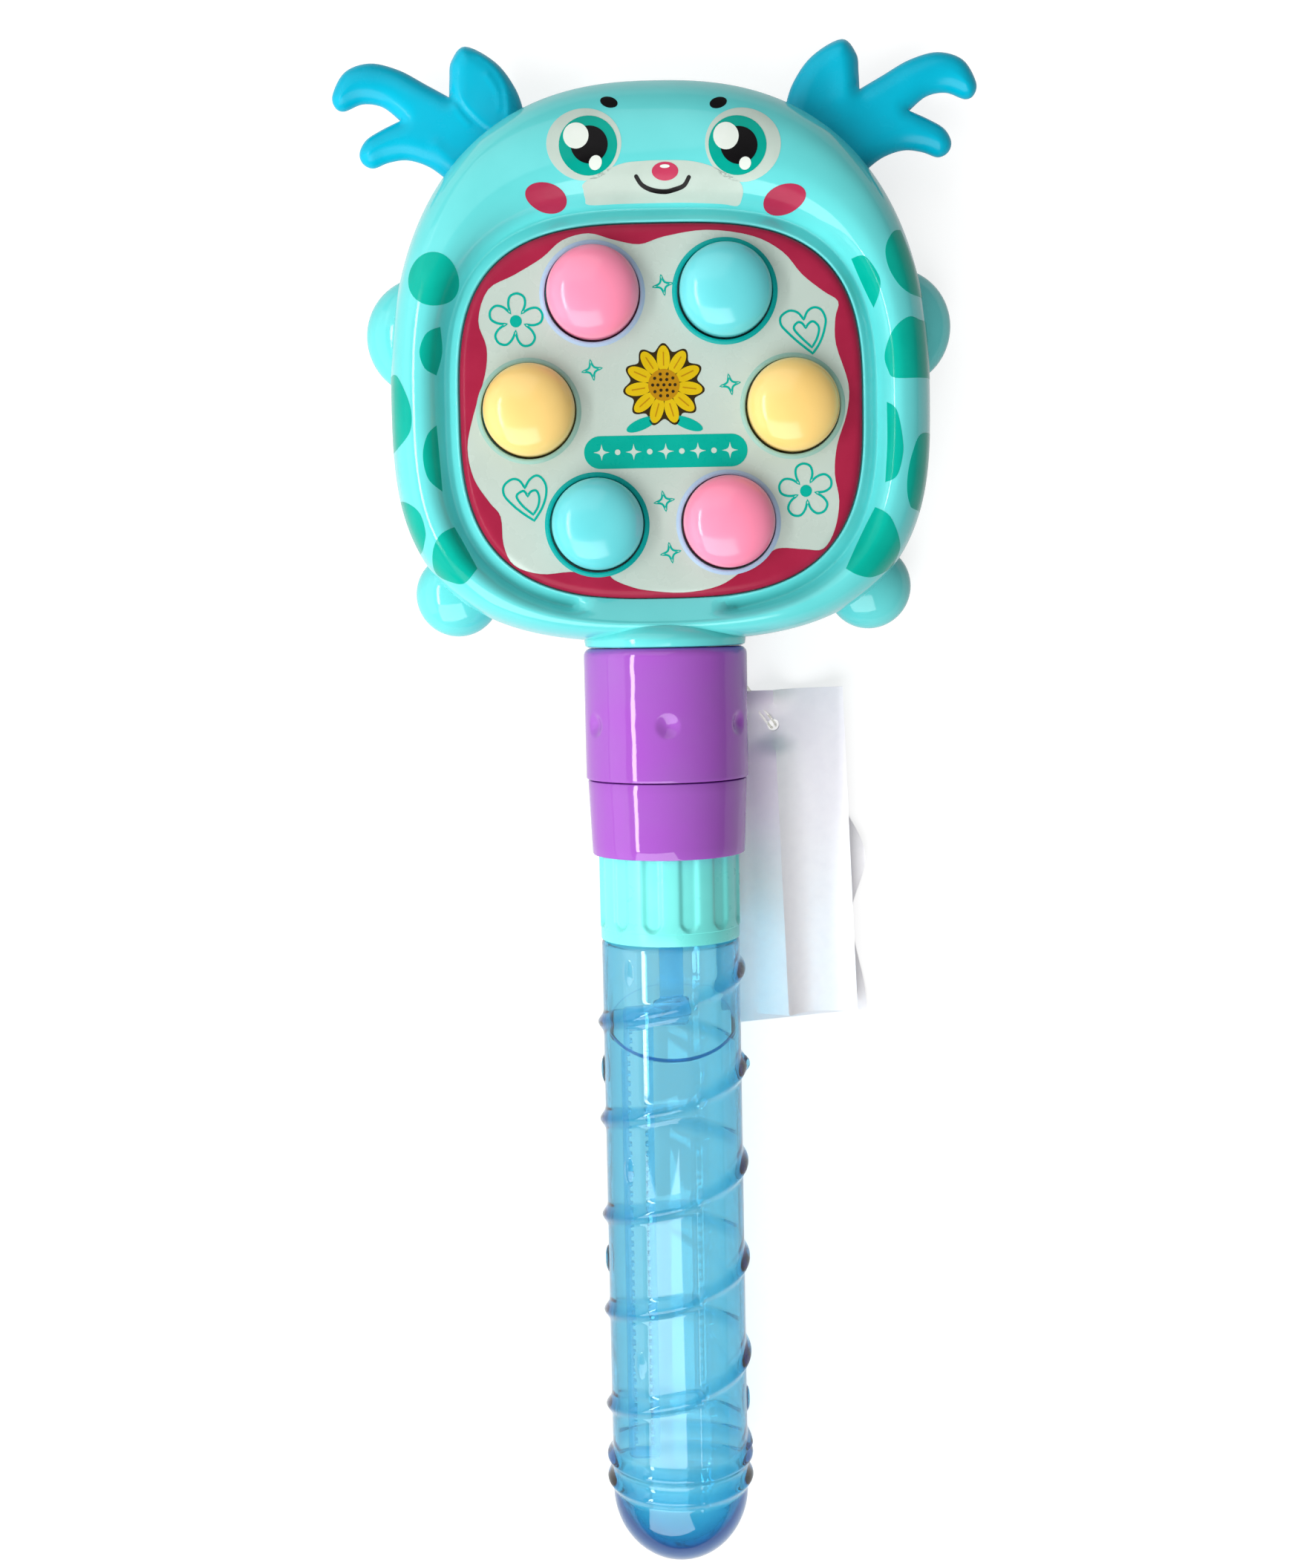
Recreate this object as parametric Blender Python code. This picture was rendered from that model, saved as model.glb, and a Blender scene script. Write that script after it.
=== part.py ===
"""Hand-held mole pounding game on a bubble stick, as separate pieces at real size.

The toy lies on its back. +Z points out of its face, +Y from the stick to the antlers and +X to
the right of someone who looks at the face. The origin is under the middle of its length, on the
flat back. Sizes below are in millimetres, and each mesh is written in metres.
"""
import math

import bmesh
import bpy
from mathutils import Vector

MM = 0.001
GAP = 0.3
WALL = 2.2

# Head: an egg-like outline, flat at the back, with a rounded rim round a sunk game panel
HEAD_CENTRE_Y = 114.5
HEAD_HALF_WIDTH = 73.5
HEAD_TOP_Y = 200.9
HEAD_BOTTOM_Y = 50.2
HEAD_TOP_POWER = 2.42
HEAD_BOTTOM_POWER = 2.9
HEAD_SIDES = 48
PARTING_Z = 21.0
RIM_TOP_Z = 42.0
GROOVE_Z = 36.2
LIP_Z = 38.0
BACK_EDGE_RADIUS = 6.0
# Share of the rim's width and height above the parting line, from the outline in to the groove
RIM_STEPS = ((0.0, 0.30), (0.045, 0.50), (0.15, 0.73), (0.34, 0.915), (0.60, 1.0), (0.82, 0.935),
             (0.95, 0.80))
RIM_CREST_SHARE = 0.60
GROOVE_TO_LIP = 4.4
# Heights across the middle of the lower edge, where the rim runs on to the lip without a groove
BRIDGE_Z = (40.2, 40.0, 39.5, 38.6)

# Game panel, its six buttons on a circle, and what lies under them
PANEL_CENTRE_Y = 111.7
PANEL_HALF_WIDTH = 54.2
PANEL_TOP_Y = 161.5
PANEL_BOTTOM_Y = 61.7
PANEL_TOP_POWER = 3.15
PANEL_BOTTOM_POWER = 2.9
PANEL_FLOOR_Z = 36.1
PANEL_TOP_Z = 39.3
PANEL_EDGE = 1.5
BUTTON_CIRCLE_RADIUS = 35.3
BUTTON_CIRCLE_Y = 112.6
BUTTON_RADIUS = 12.3
BUTTON_HOLE_RADIUS = 12.65
BUTTON_RING_RADIUS = 14.2
BUTTON_RING_HEIGHT = 0.9
BUTTON_SHOULDER_Z = 41.2
BUTTON_TOP_Z = 48.4
BUTTON_FLANGE_RADIUS = 14.0
BUTTON_SIDES = 16
PANEL_RING_SIDES = 16
PLUNGER_RADIUS = 3.0
DOME_HEIGHT = 7.5
DOME_RADIUS = 5.0
BOARD_Z = 17.5
BOARD_THICKNESS = 1.6
BOARD_HALF_WIDTH = 47.0
BOARD_TOP_Y = 151.5
BOARD_BOTTOM_Y = 74.5
BOARD_POSTS = ((-40.0, 84.0), (40.0, 84.0), (-40.0, 140.5), (40.0, 140.5))

# Round ears and feet that stand out behind the front shell
EAR = {"x": 65.2, "y": 136.2, "z": 11.0, "radius": 16.6, "depth": 9.6}
FOOT = {"x": 58.2, "y": 64.2, "z": 10.6, "radius": 11.9, "depth": 9.4}

# Antlers, clamped at the parting line
ANTLER_LOW_Z = 12.7
ANTLER_HIGH_Z = 20.7
ANTLER_ROOT = ((35.7, 195.0), (57.0, 177.5))
ANTLER_LEAF = ((38.0, 202.0), (43.3, 209.2), (51.6, 213.6), (55.6, 209.6), (56.2, 204.9))
ANTLER_VALLEY = (56.4, 200.2)
ANTLER_LONG_TINE = ((62.5, 203.6), (70.0, 207.7), (77.9, 209.6), (84.8, 207.4), (88.4, 201.4),
                    (87.8, 198.0), (85.3, 197.0), (80.2, 198.8), (74.8, 197.9))
ANTLER_NOTCH = (70.0, 194.1)
ANTLER_SHORT_TINE = ((75.4, 191.6), (79.6, 189.0), (81.5, 185.5), (80.6, 182.7), (77.8, 181.5),
                     (73.4, 183.0), (68.2, 183.5), (62.3, 181.5))

# Stick: everything is turned about this axis
STICK_Z = 22.8
NECK_FACE_Y = 49.9
NECK_RADIUS = 22.4
SPIGOT_RADIUS = 11.5
COLLAR_TOP_Y = 48.6
COLLAR_BOTTOM_Y = 12.2
COLLAR_RADIUS = 22.7
COLLAR_BORE = 19.0
DIMPLE_Y = 27.6
DIMPLE_RADIUS = 3.6
DIMPLE_DEPTH = 1.0
RING_BOTTOM_Y = -9.0
RING_TOP_RADIUS = 22.2
RING_BOTTOM_RADIUS = 21.4
SOCKET_BORE = 20.0
SOCKET_TOP_Y = 6.0

# Bubble stick: ribbed cap with the wand, and the tube that screws off it
CAP_TOP_Y = 5.0
CAP_BOTTOM_Y = -32.9
CAP_RADIUS = 19.65
CAP_VALLEY = 18.8
CAP_BAND_RADIUS = 19.45
CAP_BAND_HEIGHT = 3.6
CAP_RIBS = 12
CAP_BORE = 17.0
CAP_FLOOR_Y = -14.5
SEAL_OUTER = 16.0
SEAL_INNER = 12.2
SEAL_THICKNESS = 1.2
TUBE_SHOULDER_Y = CAP_BOTTOM_Y - GAP
TUBE_BOTTOM_Y = -213.6
TUBE_RADIUS = 19.4
TUBE_WALL = 1.5
TUBE_NECK_RADIUS = 16.2
TUBE_NECK_WALL = 1.7
TUBE_SIDES = 24
RIB_PITCH = 27.8
RIB_HEIGHT = 1.6
RIB_HALF_WIDTH = 3.4
RIB_LEFT_Y = -56.9
RIB_START = 0.36
RIB_START_FADE = 0.10
RIB_END_Y = -177.0
END_RINGS_Y = (-182.9, -189.4)
END_RING_HALF_WIDTH = 3.0
DOME_START_Y = -193.0
WAND_STEM_RADIUS = 3.4
WAND_STEM_END_Y = -51.0
WAND_FRAME_X = -8.8
WAND_FRAME_WIDTH = 9.8
WAND_FRAME_TOP_Y = -58.0
WAND_FRAME_END_Y = -184.0
WAND_RAIL = 1.6
WAND_TOOTH = 0.8
WAND_TEETH = 18
WAND_THICKNESS = 2.4

# Back of the head: battery bay and door, speaker, power switch and screws
BAY_CENTRE = (0.0, 112.5)
BAY_SIZE = (56.0, 40.0)
BAY_TOP_Z = 14.6
BAY_LEDGE = 2.0
BAY_WALL = 1.3
CELL_RADIUS = 5.2
CELL_LENGTH = 44.0
CELL_SPACING = 11.4
DOOR_THICKNESS = 1.9
DOOR_SEAT_Z = 2.25
DOOR_EAR_RADIUS = 4.2
SPEAKER_Y = 172.0
SPEAKER_RADIUS = 14.5
GRILLE_SLOTS = 5
GRILLE_PITCH = 4.4
SWITCH_Y = 75.0
SWITCH_TRAVEL = 5.0
CASE_SCREW_ANGLES = (-7.0, 57.0, -66.0, 187.0, 123.0, 246.0)
SCREW_HEAD_RADIUS = 2.7
SCREW_SHANK_RADIUS = 1.3
SCREW_SEAT_Z = 7.0

# Leaflet on a clear string, beside the stick on the surface that the toy lies on
LEAFLET_HOLE = (31.2, 24.9)
LEAFLET_HOLE_RADIUS = 1.7
LEAFLET_HEIGHT = 94.5
LEAFLET_LIFT = 6.0
LEAFLET_ABOVE_HOLE = 10.3
LEAFLET_LEFT_OF_HOLE = 19.5
LEAFLET_RIGHT_OF_HOLE = 20.0
STRING_RADIUS = 0.35
STRING_ROUTE = (
    (31.9, 24.6, 0.55), (31.6, 25.4, 1.9), (29.6, 28.0, 2.6), (25.6, 33.4, 2.8), (21.0, 40.0, 3.0),
    (18.0, 44.8, 3.6), (16.4, 48.0, 5.0), (15.7, 49.25, 8.4), (14.4, 49.25, 13.6), (12.9, 49.25, 20.0),
    (11.9, 49.25, 26.6), (7.5, 49.25, 32.7), (0.0, 49.25, 35.3), (-7.5, 49.25, 32.7),
    (-11.9, 49.25, 26.6), (-12.1, 49.25, 19.6), (-8.6, 49.25, 13.6), (-2.4, 49.25, 9.8),
    (5.0, 49.25, 7.0), (10.6, 49.2, 4.6), (14.6, 47.0, 2.8), (18.8, 41.4, 1.9), (23.6, 34.0, 1.9),
    (28.2, 27.2, 2.0), (30.4, 24.4, 1.8), (30.9, 24.1, 0.6))

# Colours of the moulded plastics: red, green and blue, then roughness and metallic
TURQUOISE = ((0.16, 0.70, 0.71), 0.22, 0.0)
PALE_TURQUOISE = ((0.22, 0.83, 0.75), 0.3, 0.0)
ANTLER_BLUE = ((0.0, 0.40, 0.64), 0.3, 0.0)
PANEL_WHITE = ((0.60, 0.70, 0.65), 0.4, 0.0)
PINK = ((1.0, 0.30, 0.46), 0.2, 0.0)
YELLOW = ((0.93, 0.65, 0.22), 0.2, 0.0)
PURPLE = ((0.37, 0.11, 0.54), 0.2, 0.0)
CLEAR_BLUE = ((0.17, 0.55, 0.75), 0.08, 0.0)
WHITE_PAPER = ((0.85, 0.85, 0.87), 0.6, 0.0)
RUBBER_GREY = ((0.55, 0.55, 0.53), 0.7, 0.0)
BOARD_GREEN = ((0.02, 0.22, 0.09), 0.45, 0.0)
STEEL = ((0.58, 0.57, 0.55), 0.3, 1.0)
DARK = ((0.03, 0.03, 0.035), 0.5, 0.0)
CELL_JACKET = ((0.05, 0.16, 0.10), 0.35, 0.0)
LED_CLEAR = ((0.9, 0.9, 0.85), 0.15, 0.0)


def clear_scene():
    """Removes every object, so that the script gives the same result each run."""
    for item in list(bpy.data.objects):
        bpy.data.objects.remove(item, do_unlink=True)


def plastic(name, finish):
    """Returns a Principled material of one colour, roughness and metallic value."""
    colour, roughness, metallic = finish
    material = bpy.data.materials.new(name)
    material.use_nodes = True
    shader = material.node_tree.nodes["Principled BSDF"]
    shader.inputs["Base Color"].default_value = (*colour, 1.0)
    shader.inputs["Roughness"].default_value = roughness
    shader.inputs["Metallic"].default_value = metallic
    material.diffuse_color = (*colour, 1.0)
    return material


def solid(name, points, faces, finish=None, origin=(0.0, 0.0, 0.0), smooth_angle=35.0):
    """Makes one mesh object from points in millimetres, with its origin at the given place."""
    mesh = bpy.data.meshes.new(name)
    shift = Vector(origin)
    mesh.from_pydata([(Vector(p) - shift) * MM for p in points], [], faces)
    shape = bmesh.new()
    shape.from_mesh(mesh)
    bmesh.ops.remove_doubles(shape, verts=shape.verts, dist=1e-7)
    bmesh.ops.dissolve_degenerate(shape, edges=shape.edges, dist=1e-7)
    bmesh.ops.recalc_face_normals(shape, faces=shape.faces)
    shape.to_mesh(mesh)
    shape.free()
    mesh.shade_smooth()
    mesh.set_sharp_from_angle(angle=math.radians(smooth_angle))
    item = bpy.data.objects.new(name, mesh)
    item.location = shift * MM
    bpy.context.scene.collection.objects.link(item)
    if finish:
        mesh.materials.append(plastic(name, finish))
    else:
        item.hide_render = True
        item.display_type = "WIRE"
    return item


def loft(name, rings, finish=None, closed=False, **options):
    """Joins rings of equally many points. The ends are capped, or joined to each other."""
    count = len(rings[0])
    points = [point for ring in rings for point in ring]
    faces = []
    last = len(rings) if closed else len(rings) - 1
    for row in range(last):
        low, high = row * count, (row + 1) % len(rings) * count
        for i in range(count):
            j = (i + 1) % count
            faces.append((low + i, low + j, high + j, high + i))
    if not closed:
        faces.append(tuple(range(count - 1, -1, -1)))
        faces.append(tuple(range(len(points) - count, len(points))))
    return solid(name, points, faces, finish, **options)


def prism(name, outline, low_z, high_z, finish=None, **options):
    """Extrudes an outline in the XY plane between two heights."""
    rings = [[(x, y, z) for x, y in outline] for z in (low_z, high_z)]
    return loft(name, rings, finish, **options)


def block(name, low, high, finish=None, **options):
    """A box between two corners."""
    outline = ((low[0], low[1]), (high[0], low[1]), (high[0], high[1]), (low[0], high[1]))
    return prism(name, outline, low[2], high[2], finish, **options)


def circle(radius, centre=(0.0, 0.0), sides=24):
    """Points of a circle in the XY plane."""
    turns = (2.0 * math.pi * i / sides for i in range(sides))
    return [(centre[0] + radius * math.cos(a), centre[1] + radius * math.sin(a)) for a in turns]


def post(name, centre, radius, low_z, high_z, finish=None, sides=12, **options):
    """A cylinder that stands along Z."""
    return prism(name, circle(radius, centre, sides), low_z, high_z, finish, **options)


def turned_up(name, profile, centre, sides, finish=None, **options):
    """Turns (radius, z) points about a vertical axis; radius 0 at both ends closes the form."""
    return turned(name, profile, sides, finish, lambda r, h, a: (
        centre[0] + r * math.cos(a), centre[1] + r * math.sin(a), h), **options)


def turned_on_stick(name, profile, sides, finish=None, **options):
    """Turns (radius, y) points about the stick's axis."""
    return turned(name, profile, sides, finish, lambda r, h, a: (
        r * math.sin(a), h, STICK_Z + r * math.cos(a)), **options)


def turned(name, profile, sides, finish, place, **options):
    """Turns a profile; it closes on itself, or on the axis where its ends have radius 0."""
    points, faces = [], []
    rows = []
    for radius, height in profile:
        if radius == 0.0:
            rows.append([len(points)] * sides)
            points.append(place(0.0, height, 0.0))
            continue
        rows.append(list(range(len(points), len(points) + sides)))
        points += [place(radius, height, 2.0 * math.pi * i / sides) for i in range(sides)]
    pairs = list(zip(rows, rows[1:]))
    if profile[0][0] != 0.0:
        pairs.append((rows[-1], rows[0]))
    for low, high in pairs:
        for i in range(sides):
            j = (i + 1) % sides
            corners = []
            for corner in (low[i], low[j], high[j], high[i]):
                if corner not in corners:
                    corners.append(corner)
            if len(corners) > 2:
                faces.append(tuple(corners))
    return solid(name, points, faces, finish, **options)


def combine(target, operation, *tools):
    """Cuts tools out of a solid, or joins them to it, with exact Booleans."""
    for tool in tools:
        step = target.modifiers.new(tool.name, "BOOLEAN")
        step.operation = operation
        step.solver = "EXACT"
        step.object = tool
    return target


def gathered(name, tools):
    """Puts several separate tools in one object, so that one Boolean uses them all."""
    shape = bmesh.new()
    for tool in tools:
        shape.from_mesh(tool.data)
        bpy.data.objects.remove(tool, do_unlink=True)
    mesh = bpy.data.meshes.new(name)
    shape.to_mesh(mesh)
    shape.free()
    item = bpy.data.objects.new(name, mesh)
    item.hide_render = True
    item.display_type = "WIRE"
    bpy.context.scene.collection.objects.link(item)
    return item


def egg(centre_y, half_width, top_y, bottom_y, top_power, bottom_power, inset=0.0):
    """Outline that is wide and square-shouldered, with unlike upper and lower halves."""
    outline = []
    for i in range(HEAD_SIDES):
        turn = 2.0 * math.pi * i / HEAD_SIDES
        c, s = math.cos(turn), math.sin(turn)
        power = top_power if s >= 0.0 else bottom_power
        height = (top_y if s >= 0.0 else bottom_y) - centre_y
        x = half_width - inset
        y = height - math.copysign(inset, height)
        outline.append((math.copysign(abs(c) ** (2.0 / power), c) * x,
                        centre_y + abs(s) ** (2.0 / power) * y))
    return outline


def head_outline():
    """The head seen from the front."""
    return egg(HEAD_CENTRE_Y, HEAD_HALF_WIDTH, HEAD_TOP_Y, HEAD_BOTTOM_Y,
               HEAD_TOP_POWER, HEAD_BOTTOM_POWER)


def panel_outline(inset=0.0):
    """The game panel's edge, or a line inside it."""
    return egg(PANEL_CENTRE_Y, PANEL_HALF_WIDTH, PANEL_TOP_Y, PANEL_BOTTOM_Y,
               PANEL_TOP_POWER, PANEL_BOTTOM_POWER, inset)


def rim_line(share, z, back_off=0.0):
    """A ring on the rim: share 0 is the head's outline and share 1 the groove round the panel.

    back_off moves it inwards from there by so many millimetres.
    """
    ring = []
    for outer, inner in zip(head_outline(), panel_outline()):
        reach = Vector(inner) - Vector(outer)
        width = reach.length - GROOVE_TO_LIP
        place = Vector(outer) + reach.normalized() * (share * width + back_off)
        ring.append((place.x, place.y, z))
    return ring


def rim_crest(angle):
    """The point on top of the rim in the direction nearest to an angle in degrees."""
    index = round(angle / 360.0 * HEAD_SIDES) % HEAD_SIDES
    return rim_line(RIM_CREST_SHARE, RIM_TOP_Z)[index][:2]


def button_places():
    """Name, finish and centre of each button, round the circle from the upper left."""
    kinds = (("pink_top", PINK, 120), ("teal_top", TURQUOISE, 60), ("yellow_right", YELLOW, 0),
             ("pink_bottom", PINK, 300), ("teal_bottom", TURQUOISE, 240), ("yellow_left", YELLOW, 180))
    for name, finish, angle in kinds:
        turn = math.radians(angle)
        centre = (BUTTON_CIRCLE_RADIUS * math.cos(turn),
                  BUTTON_CIRCLE_Y + BUTTON_CIRCLE_RADIUS * math.sin(turn))
        yield name, finish, centre


def neck_boss(name, low_z, high_z):
    """The half of the head's neck that lies between two heights, as a piece to join to a shell."""
    end = NECK_FACE_Y + 6.3
    profile = ((SPIGOT_RADIUS + GAP, NECK_FACE_Y), (NECK_RADIUS, NECK_FACE_Y),
               (NECK_RADIUS, NECK_FACE_Y + 1.3), (NECK_RADIUS - 2.0, NECK_FACE_Y + 4.1),
               (NECK_RADIUS - 6.2, end), (NECK_RADIUS - 8.6, end),
               (NECK_RADIUS - 6.4, NECK_FACE_Y + 2.6), (SPIGOT_RADIUS + GAP, NECK_FACE_Y + 2.6))
    boss = turned_on_stick(name, profile, 24)
    half = block(name + "_half", (-40.0, 40.0, low_z), (40.0, 80.0, high_z))
    return combine(boss, "INTERSECT", half)


def spigot_hole(name):
    """Cutter for the hole in the head's lower wall that the collar's spigot goes through."""
    radius = SPIGOT_RADIUS + GAP
    return turned_on_stick(name, ((0.0, 45.0), (radius, 45.0), (radius, 56.0), (0.0, 56.0)), 24)


def front_shell():
    """Front half of the head: rounded rim, groove, lip and the floor under the game panel."""
    skirt_z = PARTING_Z + GAP
    rise = RIM_TOP_Z - skirt_z
    rings = [rim_line(0.0, skirt_z)]
    rings += [rim_line(share, skirt_z + rise * height) for share, height in RIM_STEPS]
    rings.append(rim_line(1.0, GROOVE_Z))
    rings.append(rim_line(1.0, GROOVE_Z, 1.1))
    rings.append(rim_line(1.0, LIP_Z - 0.3, 3.0))
    rings.append(rim_line(1.0, LIP_Z, GROOVE_TO_LIP))
    rings.append([(x, y, PANEL_FLOOR_Z) for x, y in panel_outline()])
    bottom = HEAD_SIDES * 3 // 4
    for ring, z in zip(rings[-6:-2], BRIDGE_Z):
        for i in (bottom - 1, bottom, bottom + 1):
            ring[i] = (*ring[i][:2], z)
    under = [[(x, y, PANEL_FLOOR_Z - WALL) for x, y in panel_outline(1.0)],
             rim_line(1.0, GROOVE_Z - WALL, 0.6),
             rim_line(RIM_CREST_SHARE, RIM_TOP_Z - WALL),
             rim_line(0.20, 36.6, 1.2),
             rim_line(0.0, 29.5, WALL),
             rim_line(0.0, skirt_z, WALL)]
    points = [p for ring in rings + under for p in ring]
    sides = HEAD_SIDES
    faces = []

    def band(low, high):
        for i in range(sides):
            j = (i + 1) % sides
            faces.append((low * sides + i, low * sides + j, high * sides + j, high * sides + i))

    for row in range(len(rings) - 1):
        band(row, row + 1)
    floor = len(rings) - 1
    faces.append(tuple(range(floor * sides, (floor + 1) * sides)))
    for row in range(len(rings), len(rings) + len(under) - 1):
        band(row, row + 1)
    band(len(rings) + len(under) - 1, 0)
    faces.append(tuple(range((floor + 2) * sides - 1, (floor + 1) * sides - 1, -1)))
    shell = solid("front_shell", points, faces, TURQUOISE)

    board_top = BOARD_Z + BOARD_THICKNESS + GAP
    screws = [rim_crest(angle) for angle in CASE_SCREW_ANGLES]
    posts = [post("board_post", place, 3.0, board_top, PANEL_FLOOR_Z - WALL / 2.0, sides=10)
             for place in BOARD_POSTS]
    posts += [post("screw_post", place, 3.2, SCREW_SEAT_Z + 7.0, RIM_TOP_Z - 1.3, sides=10)
              for place in screws]
    holes = [post("screw_hole", place, SCREW_SHANK_RADIUS + GAP, SCREW_SEAT_Z + 5.0, 27.0, sides=8)
             for place in screws]
    holes += [post("button_hole", centre, BUTTON_HOLE_RADIUS, PANEL_FLOOR_Z - 4.0, PANEL_FLOOR_Z + 4.0,
                   sides=BUTTON_SIDES) for _, _, centre in button_places()]
    neck = neck_boss("front_neck", PARTING_Z + GAP, 60.0)
    combine(shell, "UNION", gathered("front_posts", posts), neck)
    combine(shell, "DIFFERENCE", gathered("front_holes", holes), spigot_hole("front_spigot_hole"))


def lobe(name, spec, side):
    """One ear or foot: a flattened ball, cut flat just under the front shell."""
    half = []
    steps = 3
    for i in range(steps + 1):
        turn = math.pi / 2.0 * i / steps
        half.append((spec["radius"] * math.cos(turn), spec["depth"] * math.sin(turn)))
    profile = [(r, spec["z"] - h) for r, h in reversed(half)]
    profile += [(r, spec["z"] + h) for r, h in half[1:]]
    profile[0] = (0.0, profile[0][1])
    profile[-1] = (0.0, profile[-1][1])
    return turned_up(name, profile, (side * spec["x"], spec["y"]), 16)


def antler_slot(name, side):
    """Cutter for the gap in the back shell's wall that an antler's root lies in."""
    first, last = (Vector(p) for p in ANTLER_ROOT)
    along = (last - first).normalized()
    out = Vector((-along.y, along.x))
    corners = (first - along * 0.5 + out * 7.0, last + along * 0.5 + out * 7.0,
               last + along * 0.5 - out * 6.0, first - along * 0.5 - out * 6.0)
    return prism(name, [(side * c.x, c.y) for c in corners], ANTLER_LOW_Z - GAP, PARTING_Z + 4.0)


def back_shell():
    """Back half of the head: flat back, ears and feet, battery bay, speaker seat, screw posts."""
    rings = [rim_line(0.0, PARTING_Z), rim_line(0.0, BACK_EDGE_RADIUS),
             rim_line(0.0, 1.8, 1.8), rim_line(0.0, 0.0, BACK_EDGE_RADIUS)]
    inside = [rim_line(0.0, WALL, BACK_EDGE_RADIUS + 1.0), rim_line(0.0, BACK_EDGE_RADIUS + 0.6, WALL),
              rim_line(0.0, PARTING_Z, WALL)]
    points = [p for ring in rings + inside for p in ring]
    sides = HEAD_SIDES
    faces = []
    for row in (0, 1, 2, 4, 5, 6):
        low, high = row * sides, (row + 1) % 7 * sides
        for i in range(sides):
            j = (i + 1) % sides
            faces.append((low + i, low + j, high + j, high + i))
    faces.append(tuple(range(3 * sides, 4 * sides)))
    faces.append(tuple(range(5 * sides - 1, 4 * sides - 1, -1)))
    shell = solid("back_shell", points, faces, TURQUOISE)

    for side, word in ((-1, "left"), (1, "right")):
        combine(shell, "UNION", lobe(f"ear_{word}", EAR, side), lobe(f"foot_{word}", FOOT, side))
        combine(shell, "DIFFERENCE", antler_slot(f"antler_slot_{word}", side))
    screws = [rim_crest(angle) for angle in CASE_SCREW_ANGLES]
    posts = [post("board_post", place, 3.0, WALL / 2.0, BOARD_Z - GAP, sides=10)
             for place in BOARD_POSTS]
    posts += [post("screw_post", place, 4.6, WALL / 2.0, SCREW_SEAT_Z + 7.0 - GAP, sides=12)
              for place in screws]
    wells = [post("screw_well", place, SCREW_HEAD_RADIUS + GAP, -2.0, SCREW_SEAT_Z, sides=12)
             for place in screws]
    bores = [post("screw_bore", place, SCREW_SHANK_RADIUS + GAP, 3.0, 20.0, sides=8) for place in screws]
    combine(shell, "UNION", gathered("back_posts", posts))
    combine(shell, "DIFFERENCE", gathered("back_wells", wells), gathered("back_bores", bores))
    battery_bay(shell)
    seat = turned_up("speaker_seat", (
        (SPEAKER_RADIUS + GAP, WALL / 2.0), (SPEAKER_RADIUS + 1.6, WALL / 2.0),
        (SPEAKER_RADIUS + 1.6, 7.0), (SPEAKER_RADIUS + GAP, 7.0)), (0.0, SPEAKER_Y), 20)
    combine(shell, "UNION", seat)
    slots = []
    for slot in range(GRILLE_SLOTS):
        offset = (slot - (GRILLE_SLOTS - 1) / 2.0) * GRILLE_PITCH
        half = math.sqrt((SPEAKER_RADIUS - 2.0) ** 2 - offset ** 2)
        slots.append(block("grille_slot", (-half, SPEAKER_Y + offset - 1.0, -2.0),
                           (half, SPEAKER_Y + offset + 1.0, WALL + 2.0)))
    combine(shell, "DIFFERENCE", gathered("grille", slots))
    well = block("switch_well", (-9.0, SWITCH_Y - 4.2, -2.0), (9.0, SWITCH_Y + 4.2, 1.3))
    slit = block("switch_slit", (-4.3, SWITCH_Y - 2.1, -2.0), (4.3, SWITCH_Y + 2.1, 6.0))
    combine(shell, "DIFFERENCE", well, slit)
    combine(shell, "UNION", neck_boss("back_neck", -5.0, PARTING_Z))
    combine(shell, "DIFFERENCE", spigot_hole("back_spigot_hole"))


def battery_bay(shell):
    """Walled box for three cells, open at the back, with the door's ledge and screw boss."""
    x, y = BAY_CENTRE
    half_x, half_y = BAY_SIZE[0] / 2.0, BAY_SIZE[1] / 2.0
    ledge = BAY_LEDGE
    wall_x, wall_y = half_x + ledge + BAY_WALL, half_y + ledge + BAY_WALL
    walls = block("bay_walls", (x - wall_x, y - wall_y, WALL / 2.0),
                  (x + wall_x, y + wall_y, BAY_TOP_Z + BAY_WALL))
    cavity = block("bay_cavity", (x - half_x, y - half_y, -2.0), (x + half_x, y + half_y, BAY_TOP_Z))
    seat = block("door_seat", (x - half_x - ledge, y - half_y - ledge, -2.0),
                 (x + half_x + ledge, y + half_y + ledge, DOOR_SEAT_Z))
    ear_y = y + half_y + ledge
    boss = post("door_boss", (x, ear_y + 1.0), 5.4, WALL / 2.0, 9.0, sides=16)
    ear_seat = post("door_ear_seat", (x, ear_y + 1.0), DOOR_EAR_RADIUS + GAP, -2.0, DOOR_SEAT_Z, sides=16)
    hole = post("door_screw_hole", (x, ear_y + 1.0), 1.6, 0.0, 7.0, sides=10)
    combine(shell, "UNION", walls, boss)
    combine(shell, "DIFFERENCE", cavity, seat, ear_seat, hole)


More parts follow.
